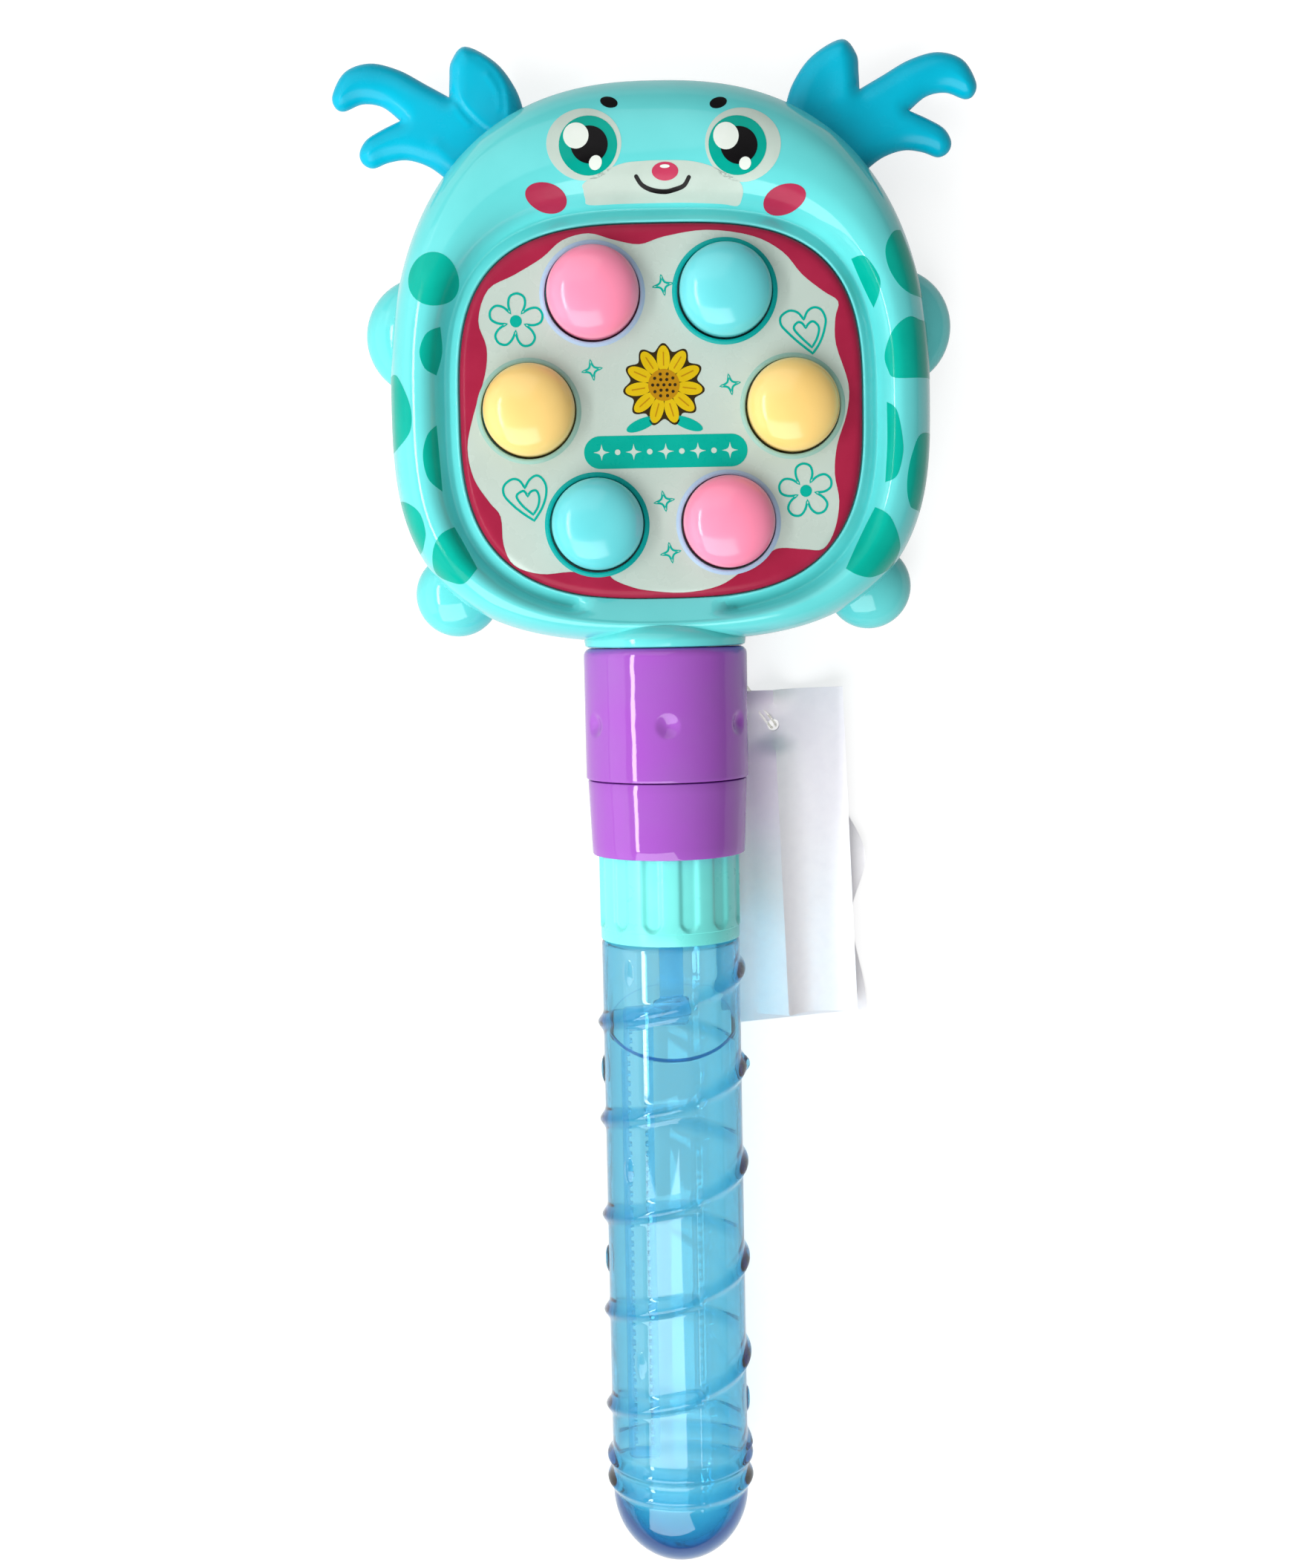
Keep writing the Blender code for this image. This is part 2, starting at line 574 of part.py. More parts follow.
def game_panel():
    """Printed plate over the front shell's floor, with a rounded edge and six raised rings."""
    low = PANEL_FLOOR_Z + GAP
    rings = [[(x, y, low) for x, y in panel_outline(GAP)],
             [(x, y, PANEL_TOP_Z - 1.1) for x, y in panel_outline(GAP)],
             [(x, y, PANEL_TOP_Z - 0.3) for x, y in panel_outline(GAP + 0.5)],
             [(x, y, PANEL_TOP_Z) for x, y in panel_outline(GAP + PANEL_EDGE)]]
    panel = loft("game_panel", rings, PANEL_WHITE)
    centres = [centre for _, _, centre in button_places()]
    holes = [post("panel_hole", centre, BUTTON_RING_RADIUS - 0.8, low - 3.0, PANEL_TOP_Z + 4.0,
                  sides=PANEL_RING_SIDES) for centre in centres]
    crest = PANEL_TOP_Z + BUTTON_RING_HEIGHT
    section = ((BUTTON_HOLE_RADIUS, low + 0.2), (BUTTON_RING_RADIUS, low + 0.2),
               (BUTTON_RING_RADIUS, crest - 0.4), (BUTTON_RING_RADIUS - 0.5, crest),
               (BUTTON_HOLE_RADIUS, crest))
    raised = [turned_up("panel_ring", section, centre, PANEL_RING_SIDES) for centre in centres]
    combine(panel, "DIFFERENCE", gathered("panel_holes", holes))
    combine(panel, "UNION", gathered("panel_rings", raised))


def buttons():
    """Six domed buttons, each with a skirt, a flange that holds it in, a plunger and a rubber dome."""
    flange_top = PANEL_FLOOR_Z - WALL - GAP
    dome_top = BOARD_Z + BOARD_THICKNESS + GAP + DOME_HEIGHT
    height = BUTTON_TOP_Z - BUTTON_SHOULDER_Z
    for name, finish, centre in button_places():
        crown = [(BUTTON_RADIUS * math.sin(t), BUTTON_SHOULDER_Z + height * math.cos(t))
                 for t in (math.radians(a) for a in (25.0, 47.0, 68.0, 90.0))]
        profile = [(0.0, BUTTON_TOP_Z)] + crown + [
            (BUTTON_RADIUS, flange_top), (BUTTON_FLANGE_RADIUS, flange_top),
            (BUTTON_FLANGE_RADIUS, flange_top - 1.2), (BUTTON_RADIUS - 1.5, flange_top - 1.2),
            (BUTTON_RADIUS - 1.5, BUTTON_SHOULDER_Z), (PLUNGER_RADIUS, BUTTON_TOP_Z - 2.5),
            (PLUNGER_RADIUS, dome_top + GAP), (0.0, dome_top + GAP)]
        origin = (centre[0], centre[1], flange_top)
        turned_up(f"button_{name}", profile, centre, BUTTON_SIDES, finish, origin=origin)
        foot = dome_top - DOME_HEIGHT
        spring = ((0.0, dome_top), (2.6, dome_top), (DOME_RADIUS, foot + 1.2), (DOME_RADIUS, foot),
                  (DOME_RADIUS - 1.2, foot), (1.4, dome_top - 1.6), (0.0, dome_top - 1.6))
        turned_up(f"dome_{name}", spring, centre, 8, RUBBER_GREY, origin=(*centre, foot))


def electronics():
    """Circuit board with a chip, six lights, and the speaker behind its grille."""
    cut = 10.0
    low_y, high_y, half = BOARD_BOTTOM_Y, BOARD_TOP_Y, BOARD_HALF_WIDTH
    outline = ((-half + cut, low_y), (half - cut, low_y), (half, low_y + cut), (half, high_y - cut),
               (half - cut, high_y), (-half + cut, high_y), (-half, high_y - cut), (-half, low_y + cut))
    top = BOARD_Z + BOARD_THICKNESS
    board = prism("circuit_board", outline, BOARD_Z, top, BOARD_GREEN)
    combine(board, "UNION", block("chip", (-6.0, 108.0, top - 0.6), (6.0, 117.0, top + 2.2)))
    for name, _, (x, y) in button_places():
        away = Vector((-x, BUTTON_CIRCLE_Y - y)).normalized() * 8.5
        block(f"led_{name}", (x + away.x - 1.6, y + away.y - 1.6, top + GAP),
              (x + away.x + 1.6, y + away.y + 1.6, top + GAP + 1.7), LED_CLEAR)
    turned_up("speaker", (
        (0.0, WALL + GAP), (SPEAKER_RADIUS, WALL + GAP), (SPEAKER_RADIUS, 4.6), (7.5, 6.4),
        (7.5, 9.0), (0.0, 9.0)), (0.0, SPEAKER_Y), 20, DARK)


def batteries():
    """Three small cells side by side and the two contact strips at their ends."""
    centre_x, centre_y = BAY_CENTRE
    z = WALL + GAP + CELL_RADIUS + 0.4
    for number in (1, 2, 3):
        y = centre_y + (number - 2) * CELL_SPACING
        flip = 1.0 if number % 2 else -1.0
        ends = ((0.0, -CELL_LENGTH / 2.0), (CELL_RADIUS, -CELL_LENGTH / 2.0),
                (CELL_RADIUS, CELL_LENGTH / 2.0 - 1.2), (2.0, CELL_LENGTH / 2.0 - 1.2),
                (2.0, CELL_LENGTH / 2.0), (0.0, CELL_LENGTH / 2.0))
        turned(f"battery_{number}", ends, 14, CELL_JACKET, lambda r, h, a, y=y, flip=flip: (
            centre_x + flip * h, y + r * math.cos(a), z + r * math.sin(a)))
    for side, word in ((-1.0, "left"), (1.0, "right")):
        near, far = sorted((centre_x + side * (CELL_LENGTH / 2.0 + GAP),
                            centre_x + side * (BAY_SIZE[0] / 2.0 - GAP)))
        strip = block(f"battery_contact_{word}", (near, centre_y - 17.5, z - 3.5),
                      (far, centre_y + 17.5, z + 3.5), STEEL)
        middle = (near + far) / 2.0
        for number in (1, 2, 3):
            y = centre_y + (number - 2) * CELL_SPACING
            spring_side = near - 1.0 if side < 0 else middle
            combine(strip, "DIFFERENCE", block(f"contact_relief_{word}_{number}",
                    (min(spring_side, spring_side + 2.2), y - 3.0, z - 5.0),
                    (max(spring_side, spring_side + 2.2), y + 3.0, z - 1.0)))


def battery_door():
    """Door flush with the back, with a rounded hinge edge and a screw in its ear."""
    x, y = BAY_CENTRE
    half_x = BAY_SIZE[0] / 2.0 + BAY_LEDGE - GAP
    half_y = BAY_SIZE[1] / 2.0 + BAY_LEDGE - GAP
    mid_z = DOOR_THICKNESS / 2.0 + 0.02
    radius = DOOR_THICKNESS / 2.0
    axis_y = y - half_y + radius
    section = [(y + half_y, mid_z - radius), (y + half_y, mid_z + radius)]
    for step in range(7):
        turn = math.radians(90.0 + 30.0 * step)
        section.append((axis_y + radius * math.cos(turn), mid_z + radius * math.sin(turn)))
    rings = [[(side, py, pz) for py, pz in section] for side in (x - half_x, x + half_x)]
    door = loft("battery_door", rings, TURQUOISE, origin=(x, axis_y, mid_z))
    ear = (x, y + half_y + GAP + 1.0)
    combine(door, "UNION", post("door_ear", ear, DOOR_EAR_RADIUS, 0.05, DOOR_THICKNESS - 0.05, sides=16))
    combine(door, "DIFFERENCE", post("door_ear_hole", ear, SCREW_SHANK_RADIUS + GAP, -2.0, 5.0, sides=10),
            post("door_ear_sink", ear, SCREW_HEAD_RADIUS + GAP, -2.0, 1.0, sides=12))
    turned_up("door_screw", (
        (0.0, 0.1), (SCREW_HEAD_RADIUS, 0.1), (SCREW_HEAD_RADIUS, 0.7), (1.1, 0.7),
        (1.1, 4.2), (0.0, 4.8)), ear, 12, STEEL)


def power_switch():
    """Slide knob in a well in the back, with a keeper inside the shell; it rests at its left end."""
    left = -SWITCH_TRAVEL / 2.0
    knob = block("power_switch", (left - 3.0, SWITCH_Y - 2.8, 0.2), (left + 3.0, SWITCH_Y + 2.8, 1.0), DARK,
                 origin=(left, SWITCH_Y, 1.0))
    stem = block("switch_stem", (left - 1.5, SWITCH_Y - 1.6, 0.6), (left + 1.5, SWITCH_Y + 1.6, 3.2))
    keeper = block("switch_keeper", (left - 4.5, SWITCH_Y - 3.6, WALL + GAP),
                   (left + 4.5, SWITCH_Y + 3.6, 4.6))
    combine(knob, "UNION", stem, keeper)


def case_screws():
    """Six screws that go in from the back and hold the two shells together."""
    for number, angle in enumerate(CASE_SCREW_ANGLES):
        top = SCREW_SEAT_Z - GAP
        turned_up(f"case_screw_{number + 1}", (
            (0.0, top - 2.0), (SCREW_HEAD_RADIUS, top - 2.0), (SCREW_HEAD_RADIUS, top),
            (SCREW_SHANK_RADIUS, top), (SCREW_SHANK_RADIUS, top + 17.0), (0.0, top + 18.2)),
            rim_crest(angle), 10, STEEL)


def smooth_run(points, steps):
    """Points along a smooth curve through the given points, without the last one."""
    padded = [points[0]] + list(points) + [points[-1]]
    run = []
    for a, b, c, d in zip(padded, padded[1:], padded[2:], padded[3:]):
        for i in range(steps):
            t = i / steps
            run.append(tuple(
                0.5 * (2 * q + (r - p) * t + (2 * p - 5 * q + 4 * r - s) * t * t
                       + (3 * q - p - 3 * r + s) * t ** 3) for p, q, r, s in zip(a, b, c, d)))
    return run


def antlers():
    """Two antlers with a leaf-like lobe, a long and a short tine, and a root inside the head."""
    first, last = (Vector(p) for p in ANTLER_ROOT)
    along = (last - first).normalized()
    inward = Vector((along.y, -along.x)) * 7.0
    root = [tuple(last + inward - along * 2.0), tuple(first + inward + along * 2.0)]
    outline = smooth_run((ANTLER_ROOT[0],) + ANTLER_LEAF + (ANTLER_VALLEY,), 2)
    outline += smooth_run((ANTLER_VALLEY,) + ANTLER_LONG_TINE + (ANTLER_NOTCH,), 2)
    outline += smooth_run((ANTLER_NOTCH,) + ANTLER_SHORT_TINE + (ANTLER_ROOT[1],), 2)
    outline += [ANTLER_ROOT[1]] + root
    for side, word in ((-1, "left"), (1, "right")):
        flat = [(side * x, y) for x, y in outline]
        antler = prism(f"antler_{word}", flat, ANTLER_LOW_Z, ANTLER_HIGH_Z, ANTLER_BLUE)
        edge = antler.modifiers.new("rounded_edge", "BEVEL")
        edge.width = 2.2 * MM
        edge.segments = 1
        edge.limit_method = "ANGLE"
        edge.angle_limit = math.radians(60.0)
        edge.use_clamp_overlap = True


def collars():
    """Upper collar with its dimples and the spigot into the head, and the socket ring under it."""
    top = COLLAR_TOP_Y
    flange = NECK_FACE_Y + 2.6 + GAP
    collar = turned_on_stick("neck_collar", (
        (COLLAR_BORE, COLLAR_BOTTOM_Y), (COLLAR_RADIUS, COLLAR_BOTTOM_Y), (COLLAR_RADIUS, top - 2.2),
        (COLLAR_RADIUS - 0.7, top - 0.7), (COLLAR_RADIUS - 2.2, top), (SPIGOT_RADIUS, top),
        (SPIGOT_RADIUS, flange), (SPIGOT_RADIUS + 1.4, flange), (SPIGOT_RADIUS + 1.4, flange + 1.8),
        (SPIGOT_RADIUS - 2.5, flange + 1.8), (SPIGOT_RADIUS - 2.5, flange + 9.0),
        (SPIGOT_RADIUS - 4.5, flange + 9.0), (SPIGOT_RADIUS - 4.5, 43.0), (COLLAR_BORE, 43.0)), 30, PURPLE)
    ball = (DIMPLE_RADIUS ** 2 + DIMPLE_DEPTH ** 2) / (2.0 * DIMPLE_DEPTH)
    away = COLLAR_RADIUS - DIMPLE_DEPTH + ball
    for number in range(6):
        turn = math.radians(60.0 * number)
        mesh = bpy.data.meshes.new(f"dimple_{number}")
        shape = bmesh.new()
        bmesh.ops.create_icosphere(shape, subdivisions=2, radius=ball * MM)
        shape.to_mesh(mesh)
        shape.free()
        tool = bpy.data.objects.new(f"dimple_{number}", mesh)
        tool.location = Vector((away * math.sin(turn), DIMPLE_Y, STICK_Z + away * math.cos(turn))) * MM
        tool.hide_render = True
        tool.display_type = "WIRE"
        bpy.context.scene.collection.objects.link(tool)
        combine(collar, "DIFFERENCE", tool)
    upper = COLLAR_BOTTOM_Y - GAP
    turned_on_stick("coupling_ring", (
        (SOCKET_BORE, RING_BOTTOM_Y), (RING_BOTTOM_RADIUS - 0.5, RING_BOTTOM_Y),
        (RING_BOTTOM_RADIUS, RING_BOTTOM_Y + 0.6), (RING_TOP_RADIUS, upper),
        (COLLAR_BORE - GAP, upper), (COLLAR_BORE - GAP, upper + 17.0), (COLLAR_BORE - 2.2, upper + 17.0),
        (COLLAR_BORE - 2.2, SOCKET_TOP_Y), (SOCKET_BORE, SOCKET_TOP_Y)), 30, PURPLE)


def tube_cap():
    """Ribbed screw cap that plugs into the socket ring and carries the wand."""
    points_per_rib = 4
    count = CAP_RIBS * points_per_rib

    def ring(y, crest, valley):
        out = []
        for i in range(count):
            radius = crest if i % points_per_rib < 2 else valley
            turn = 2.0 * math.pi * (i + (0.25 if i % 2 else -0.25)) / count
            out.append((radius * math.sin(turn), y, STICK_Z + radius * math.cos(turn)))
        return out

    band_top = CAP_BOTTOM_Y + CAP_BAND_HEIGHT
    rings = [ring(CAP_TOP_Y, CAP_VALLEY - 0.6, CAP_VALLEY - 0.6),
             ring(CAP_TOP_Y - 0.8, CAP_RADIUS, CAP_VALLEY),
             ring(band_top + 0.6, CAP_RADIUS, CAP_VALLEY),
             ring(band_top, CAP_BAND_RADIUS, CAP_BAND_RADIUS),
             ring(CAP_BOTTOM_Y + 0.4, CAP_BAND_RADIUS, CAP_BAND_RADIUS),
             ring(CAP_BOTTOM_Y, CAP_BAND_RADIUS - 0.4, CAP_BAND_RADIUS - 0.4)]
    cap = loft("tube_cap", rings, PALE_TURQUOISE, origin=(0.0, CAP_TOP_Y, STICK_Z))
    well = turned_on_stick("cap_well", ((0.0, CAP_FLOOR_Y + 2.0), (CAP_BORE, CAP_FLOOR_Y + 2.0),
                                        (CAP_BORE, CAP_TOP_Y + 3.0), (0.0, CAP_TOP_Y + 3.0)), 28)
    bore = turned_on_stick("cap_bore", ((0.0, CAP_BOTTOM_Y - 3.0), (CAP_BORE, CAP_BOTTOM_Y - 3.0),
                                        (CAP_BORE, CAP_FLOOR_Y), (0.0, CAP_FLOOR_Y)), 28)
    hole = turned_on_stick("cap_wand_hole", ((0.0, CAP_FLOOR_Y - 3.0), (5.3, CAP_FLOOR_Y - 3.0),
                                             (5.3, CAP_FLOOR_Y + 5.0), (0.0, CAP_FLOOR_Y + 5.0)), 16)
    combine(cap, "DIFFERENCE", well, bore, hole)
    seal_top = CAP_FLOOR_Y - GAP
    turned_on_stick("cap_seal", (
        (SEAL_INNER, seal_top), (SEAL_OUTER, seal_top), (SEAL_OUTER, seal_top - SEAL_THICKNESS),
        (SEAL_INNER, seal_top - SEAL_THICKNESS)), 24, RUBBER_GREY, origin=(0.0, seal_top, STICK_Z))


def bubble_wand():
    """Wand: plug in the cap, round stem, cross piece and a long toothed frame to one side."""
    top = CAP_FLOOR_Y
    wand = turned_on_stick("bubble_wand", (
        (0.0, top + 4.5), (4.4, top + 4.5), (5.0, top + 3.9), (5.0, top - GAP),
        (SEAL_INNER - 0.5, top - GAP), (SEAL_INNER - 0.5, top - 1.8), (WAND_STEM_RADIUS, top - 1.8),
        (WAND_STEM_RADIUS, WAND_STEM_END_Y), (5.2, WAND_STEM_END_Y - 0.5), (5.2, WAND_STEM_END_Y - 4.0),
        (0.0, WAND_STEM_END_Y - 4.0)), 16, CLEAR_BLUE, origin=(0.0, top, STICK_Z))
    half = WAND_THICKNESS / 2.0
    left = WAND_FRAME_X - WAND_FRAME_WIDTH / 2.0
    right = WAND_FRAME_X + WAND_FRAME_WIDTH / 2.0
    cross = block("wand_cross", (left, WAND_FRAME_TOP_Y, STICK_Z - half - 0.6),
                  (4.6, WAND_STEM_END_Y - 2.5, STICK_Z + half + 0.6))
    plate = block("wand_plate", (left, WAND_FRAME_END_Y, STICK_Z - half),
                  (right, WAND_FRAME_TOP_Y + 2.0, STICK_Z + half))
    slot_low = WAND_FRAME_END_Y + WAND_RAIL + 1.0
    slot_high = WAND_FRAME_TOP_Y - WAND_RAIL
    pitch = (slot_high - slot_low) / WAND_TEETH
    wide = WAND_FRAME_WIDTH / 2.0 - WAND_RAIL
    side = []
    for tooth in range(WAND_TEETH):
        start = slot_low + tooth * pitch
        side += [(wide, start), (wide, start + pitch * 0.55), (wide - WAND_TOOTH, start + pitch * 0.6),
                 (wide - WAND_TOOTH, start + pitch * 0.95)]
    side.append((wide, slot_high))
    outline = [(WAND_FRAME_X + w, y) for w, y in side] + [(WAND_FRAME_X - w, y) for w, y in reversed(side)]
    slot = prism("wand_slot", outline, STICK_Z - 6.0, STICK_Z + 6.0)
    combine(wand, "UNION", cross, plate)
    combine(wand, "DIFFERENCE", slot)


def bulge(distance, half_width):
    """Height of a rounded rib at a distance from its middle, from 1 down to 0."""
    share = abs(distance) / half_width
    return math.cos(math.pi / 2.0 * share) ** 2 if share < 1.0 else 0.0


def tube_surface(turn, y):
    """Outer radius of the tube; turn is in revolutions, 0 at the front and 0.25 at the right."""
    rib_y = RIB_LEFT_Y + RIB_PITCH * (turn + 0.25)
    laps = round((rib_y - y) / RIB_PITCH)
    grown = (laps - turn + RIB_START) / RIB_START_FADE
    height = bulge(y - (rib_y - laps * RIB_PITCH), RIB_HALF_WIDTH) * min(1.0, max(0.0, grown))
    if y < RIB_END_Y - RIB_HALF_WIDTH:
        height = 0.0
    for ring_y in END_RINGS_Y:
        height = max(height, bulge(y - ring_y, END_RING_HALF_WIDTH))
    return TUBE_RADIUS + RIB_HEIGHT * height


class Skin:
    """Points and faces of a surface round the stick's axis, in even steps of a turn."""

    def __init__(self, sides):
        self.turns = [i / sides - 0.5 for i in range(sides)]
        self.points = []
        self.faces = []

    def add(self, radius, turn, y):
        """Adds one point and returns its number."""
        angle = 2.0 * math.pi * turn
        self.points.append((radius * math.sin(angle), y, STICK_Z + radius * math.cos(angle)))
        return len(self.points) - 1

    def ring(self, radius, y):
        """Adds a level ring; without a radius it lies on the tube's ribbed surface."""
        return [self.add(tube_surface(turn, y) if radius is None else radius, turn, y)
                for turn in self.turns]

    def band(self, first, second):
        """Joins two rings."""
        for i in range(len(first)):
            j = (i + 1) % len(first)
            self.faces.append((first[i], first[j], second[j], second[i]))

    def end(self, ring, y):
        """Closes a ring onto a point on the axis."""
        tip = self.add(0.0, 0.0, y)
        for i in range(len(ring)):
            self.faces.append((ring[i], ring[(i + 1) % len(ring)], tip))

    def helix(self, top, bottom):
        """Adds the ribbed length, in rows that follow the rib and stop at two level rings."""
        offsets = (-RIB_HALF_WIDTH, -RIB_HALF_WIDTH / 2.0, 0.0,
                   RIB_HALF_WIDTH / 2.0, RIB_HALF_WIDTH, RIB_PITCH / 2.0)
        rows = sorted((RIB_LEFT_Y + RIB_PITCH * (0.25 - lap) + offset
                       for lap in range(-1, 6) for offset in offsets), reverse=True)
        grid = []
        for turn in self.turns + [0.5]:
            levels = [min(top, max(bottom, row + RIB_PITCH * turn)) for row in rows]
            grid.append([self.add(tube_surface(turn, y), turn, y) for y in levels])
        for left, right in zip(grid, grid[1:]):
            for row in range(len(rows) - 1):
                self.faces.append((left[row], right[row], right[row + 1], left[row + 1]))


def bubble_tube():
    """Clear tube with a helical rib, two end rings, a round end and a plain neck for the cap."""
    skin = Skin(TUBE_SIDES)
    top = TUBE_SHOULDER_Y - 1.2
    skin.helix(top, RIB_END_Y)
    step = END_RING_HALF_WIDTH / 2.0
    levels = [RIB_END_Y] + [ring_y + k * step for ring_y in END_RINGS_Y for k in (2, 1, 0, -1)]
    outer = [skin.ring(None, y) for y in levels + [DOME_START_Y]]
    depth = DOME_START_Y - TUBE_BOTTOM_Y
    for angle in (24.0, 45.0, 64.0, 79.0):
        turn = math.radians(angle)
        outer.append(skin.ring(TUBE_RADIUS * math.cos(turn), DOME_START_Y - depth * math.sin(turn)))
    for first, second in zip(outer, outer[1:]):
        skin.band(first, second)
    skin.end(outer[-1], TUBE_BOTTOM_Y)

    bore = TUBE_RADIUS - TUBE_WALL
    neck_bore = TUBE_NECK_RADIUS - TUBE_NECK_WALL
    mouth = CAP_FLOOR_Y - 2.0 * GAP - SEAL_THICKNESS
    inner = [skin.ring(None, top), skin.ring(TUBE_RADIUS - 0.6, TUBE_SHOULDER_Y),
             skin.ring(TUBE_NECK_RADIUS, TUBE_SHOULDER_Y), skin.ring(TUBE_NECK_RADIUS, mouth),
             skin.ring(neck_bore, mouth), skin.ring(neck_bore, TUBE_SHOULDER_Y - 1.0),
             skin.ring(bore, TUBE_SHOULDER_Y - 4.0), skin.ring(bore, DOME_START_Y)]
    for angle in (40.0, 70.0):
        turn = math.radians(angle)
        inner.append(skin.ring(bore * math.cos(turn), DOME_START_Y - (depth - TUBE_WALL) * math.sin(turn)))
    for first, second in zip(inner, inner[1:]):
        skin.band(first, second)
    skin.end(inner[-1], TUBE_BOTTOM_Y + TUBE_WALL)
    solid("bubble_tube", skin.points, skin.faces, CLEAR_BLUE, origin=(0.0, mouth, STICK_Z))


def leaflet_sheet(name, lean_degrees, above_hole, low_z, thickness, lift):
    """A punched paper sheet; it leans about its hole, and its right edge lifts off the floor."""
    lean = math.radians(lean_degrees)
    c, s = math.cos(lean), math.sin(lean)
    left, right = -LEAFLET_LEFT_OF_HOLE, LEAFLET_RIGHT_OF_HOLE
    rings = []
    for across in (left, 0.0, right * 0.4, right * 0.7, right * 0.87, right):
        rise = lift * max(0.0, across / right) ** 2
        ring = []
        for up, z in ((above_hole, 0.0), (above_hole, thickness), (above_hole - LEAFLET_HEIGHT, thickness),
                      (above_hole - LEAFLET_HEIGHT, 0.0)):
            ring.append((LEAFLET_HOLE[0] + across * c - up * s, LEAFLET_HOLE[1] + across * s + up * c,
                         low_z + rise + z))
        rings.append(ring)
    sheet = loft(name, rings, WHITE_PAPER, origin=(*LEAFLET_HOLE, low_z))
    combine(sheet, "DIFFERENCE", post(name + "_hole", LEAFLET_HOLE, LEAFLET_HOLE_RADIUS, -3.0, 6.0))


def leaflet():
    """Folded leaflet and its loose sheet beside the stick, on a clear string round the neck."""
    leaflet_sheet("leaflet_insert", 5.0, LEAFLET_ABOVE_HOLE - 2.0, 0.1, 0.4, 0.0)
    leaflet_sheet("leaflet_cover", 2.0, LEAFLET_ABOVE_HOLE, 0.8, 0.6, LEAFLET_LIFT)
    curve = bpy.data.curves.new("leaflet_string", "CURVE")
    curve.dimensions = "3D"
    curve.bevel_depth = STRING_RADIUS * MM
    curve.bevel_resolution = 2
    curve.use_fill_caps = True
    run = smooth_run(STRING_ROUTE, 2) + [STRING_ROUTE[-1]]
    spline = curve.splines.new("POLY")
    spline.points.add(len(run) - 1)
    for point, place in zip(spline.points, run):
        point.co = (*(Vector(place) * MM), 1.0)
    curve.materials.append(plastic("leaflet_string", LED_CLEAR))
    bpy.context.scene.collection.objects.link(bpy.data.objects.new("leaflet_string", curve))


def main():
    """Builds every piece."""
    clear_scene()
    front_shell()
    back_shell()
    game_panel()
    buttons()
    electronics()
    batteries()
    battery_door()
    power_switch()
    case_screws()
    antlers()
    collars()
    tube_cap()
    bubble_wand()
    bubble_tube()
    leaflet()


main()
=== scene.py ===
"""Looks of the hand-held mole pounding game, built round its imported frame.

The toy lies on its back: +Z points out of its face, +Y from the bubble tube to the antlers and +X
to the right of someone who looks at the face. Sizes are in millimetres, and each mesh is written in
metres.
"""
import logging
import math
from collections.abc import Callable, Sequence
from dataclasses import dataclass, field
from enum import Enum
from functools import cached_property
from math import cos, pi, radians, sin

import bmesh
import bpy
import numpy as np
from mathutils import Matrix, Vector, geometry
from mathutils.bvhtree import BVHTree


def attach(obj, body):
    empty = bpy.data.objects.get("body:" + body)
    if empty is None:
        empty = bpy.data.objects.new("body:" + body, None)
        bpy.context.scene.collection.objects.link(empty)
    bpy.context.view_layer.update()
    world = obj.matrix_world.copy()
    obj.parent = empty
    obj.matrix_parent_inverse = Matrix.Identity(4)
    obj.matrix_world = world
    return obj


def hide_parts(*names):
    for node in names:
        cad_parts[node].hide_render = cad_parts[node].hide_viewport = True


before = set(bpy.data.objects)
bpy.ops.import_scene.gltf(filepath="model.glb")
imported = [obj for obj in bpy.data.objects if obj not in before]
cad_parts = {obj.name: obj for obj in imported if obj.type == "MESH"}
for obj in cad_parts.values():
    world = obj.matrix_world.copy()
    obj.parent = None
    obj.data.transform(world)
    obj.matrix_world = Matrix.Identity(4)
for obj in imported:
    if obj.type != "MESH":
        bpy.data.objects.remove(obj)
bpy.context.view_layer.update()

LOG = logging.getLogger("mole_game")
MM = 0.001
GAP = 0.3
WALL = 2.2
STICK_Z = 22.8
HOLE_RADIUS = 12.65

Point = tuple[float, float]
Place = tuple[float, float, float]
Loop = list[Point]
Rgb = tuple[int, int, int]
Oval = tuple[float, float, float, float]
Lobe = tuple[float, float, float, float, float]
Item = bpy.types.Object
Socket = bpy.types.NodeSocket


class Layer(Enum):
    """How far a printed film stands off what it is printed on, in millimetres."""

    FIRST = 0.06
    SECOND = 0.11
    THIRD = 0.16
    FOURTH = 0.21


class Side(Enum):
    """Left and right as seen by someone who looks at the face."""

    LEFT = -1.0
    RIGHT = 1.0

    @property
    def word(self) -> str:
        """The side's name in lower case."""
        return self.name.lower()


def linear(colour: Rgb) -> tuple[float, float, float, float]:
    """Turns a colour as a screen shows it into the linear values that shaders take.

    Args:
        colour: Red, green and blue from 0 to 255.

    Returns:
        Linear red, green and blue, and an alpha of 1.
    """
    channels = []
    for value in colour:
        share = value / 255.0
        channels.append(share / 12.92 if share <= 0.04045 else ((share + 0.055) / 1.055) ** 2.4)
    return (*channels, 1.0)


def add_node(tree: bpy.types.NodeTree, kind: str, **values: float | tuple) -> bpy.types.Node:
    """Adds a node and sets constants on its inputs; an underscore stands for a space."""
    node = tree.nodes.new("ShaderNode" + kind)
    for name, value in values.items():
        node.inputs[name.replace("_", " ")].default_value = value
    return node


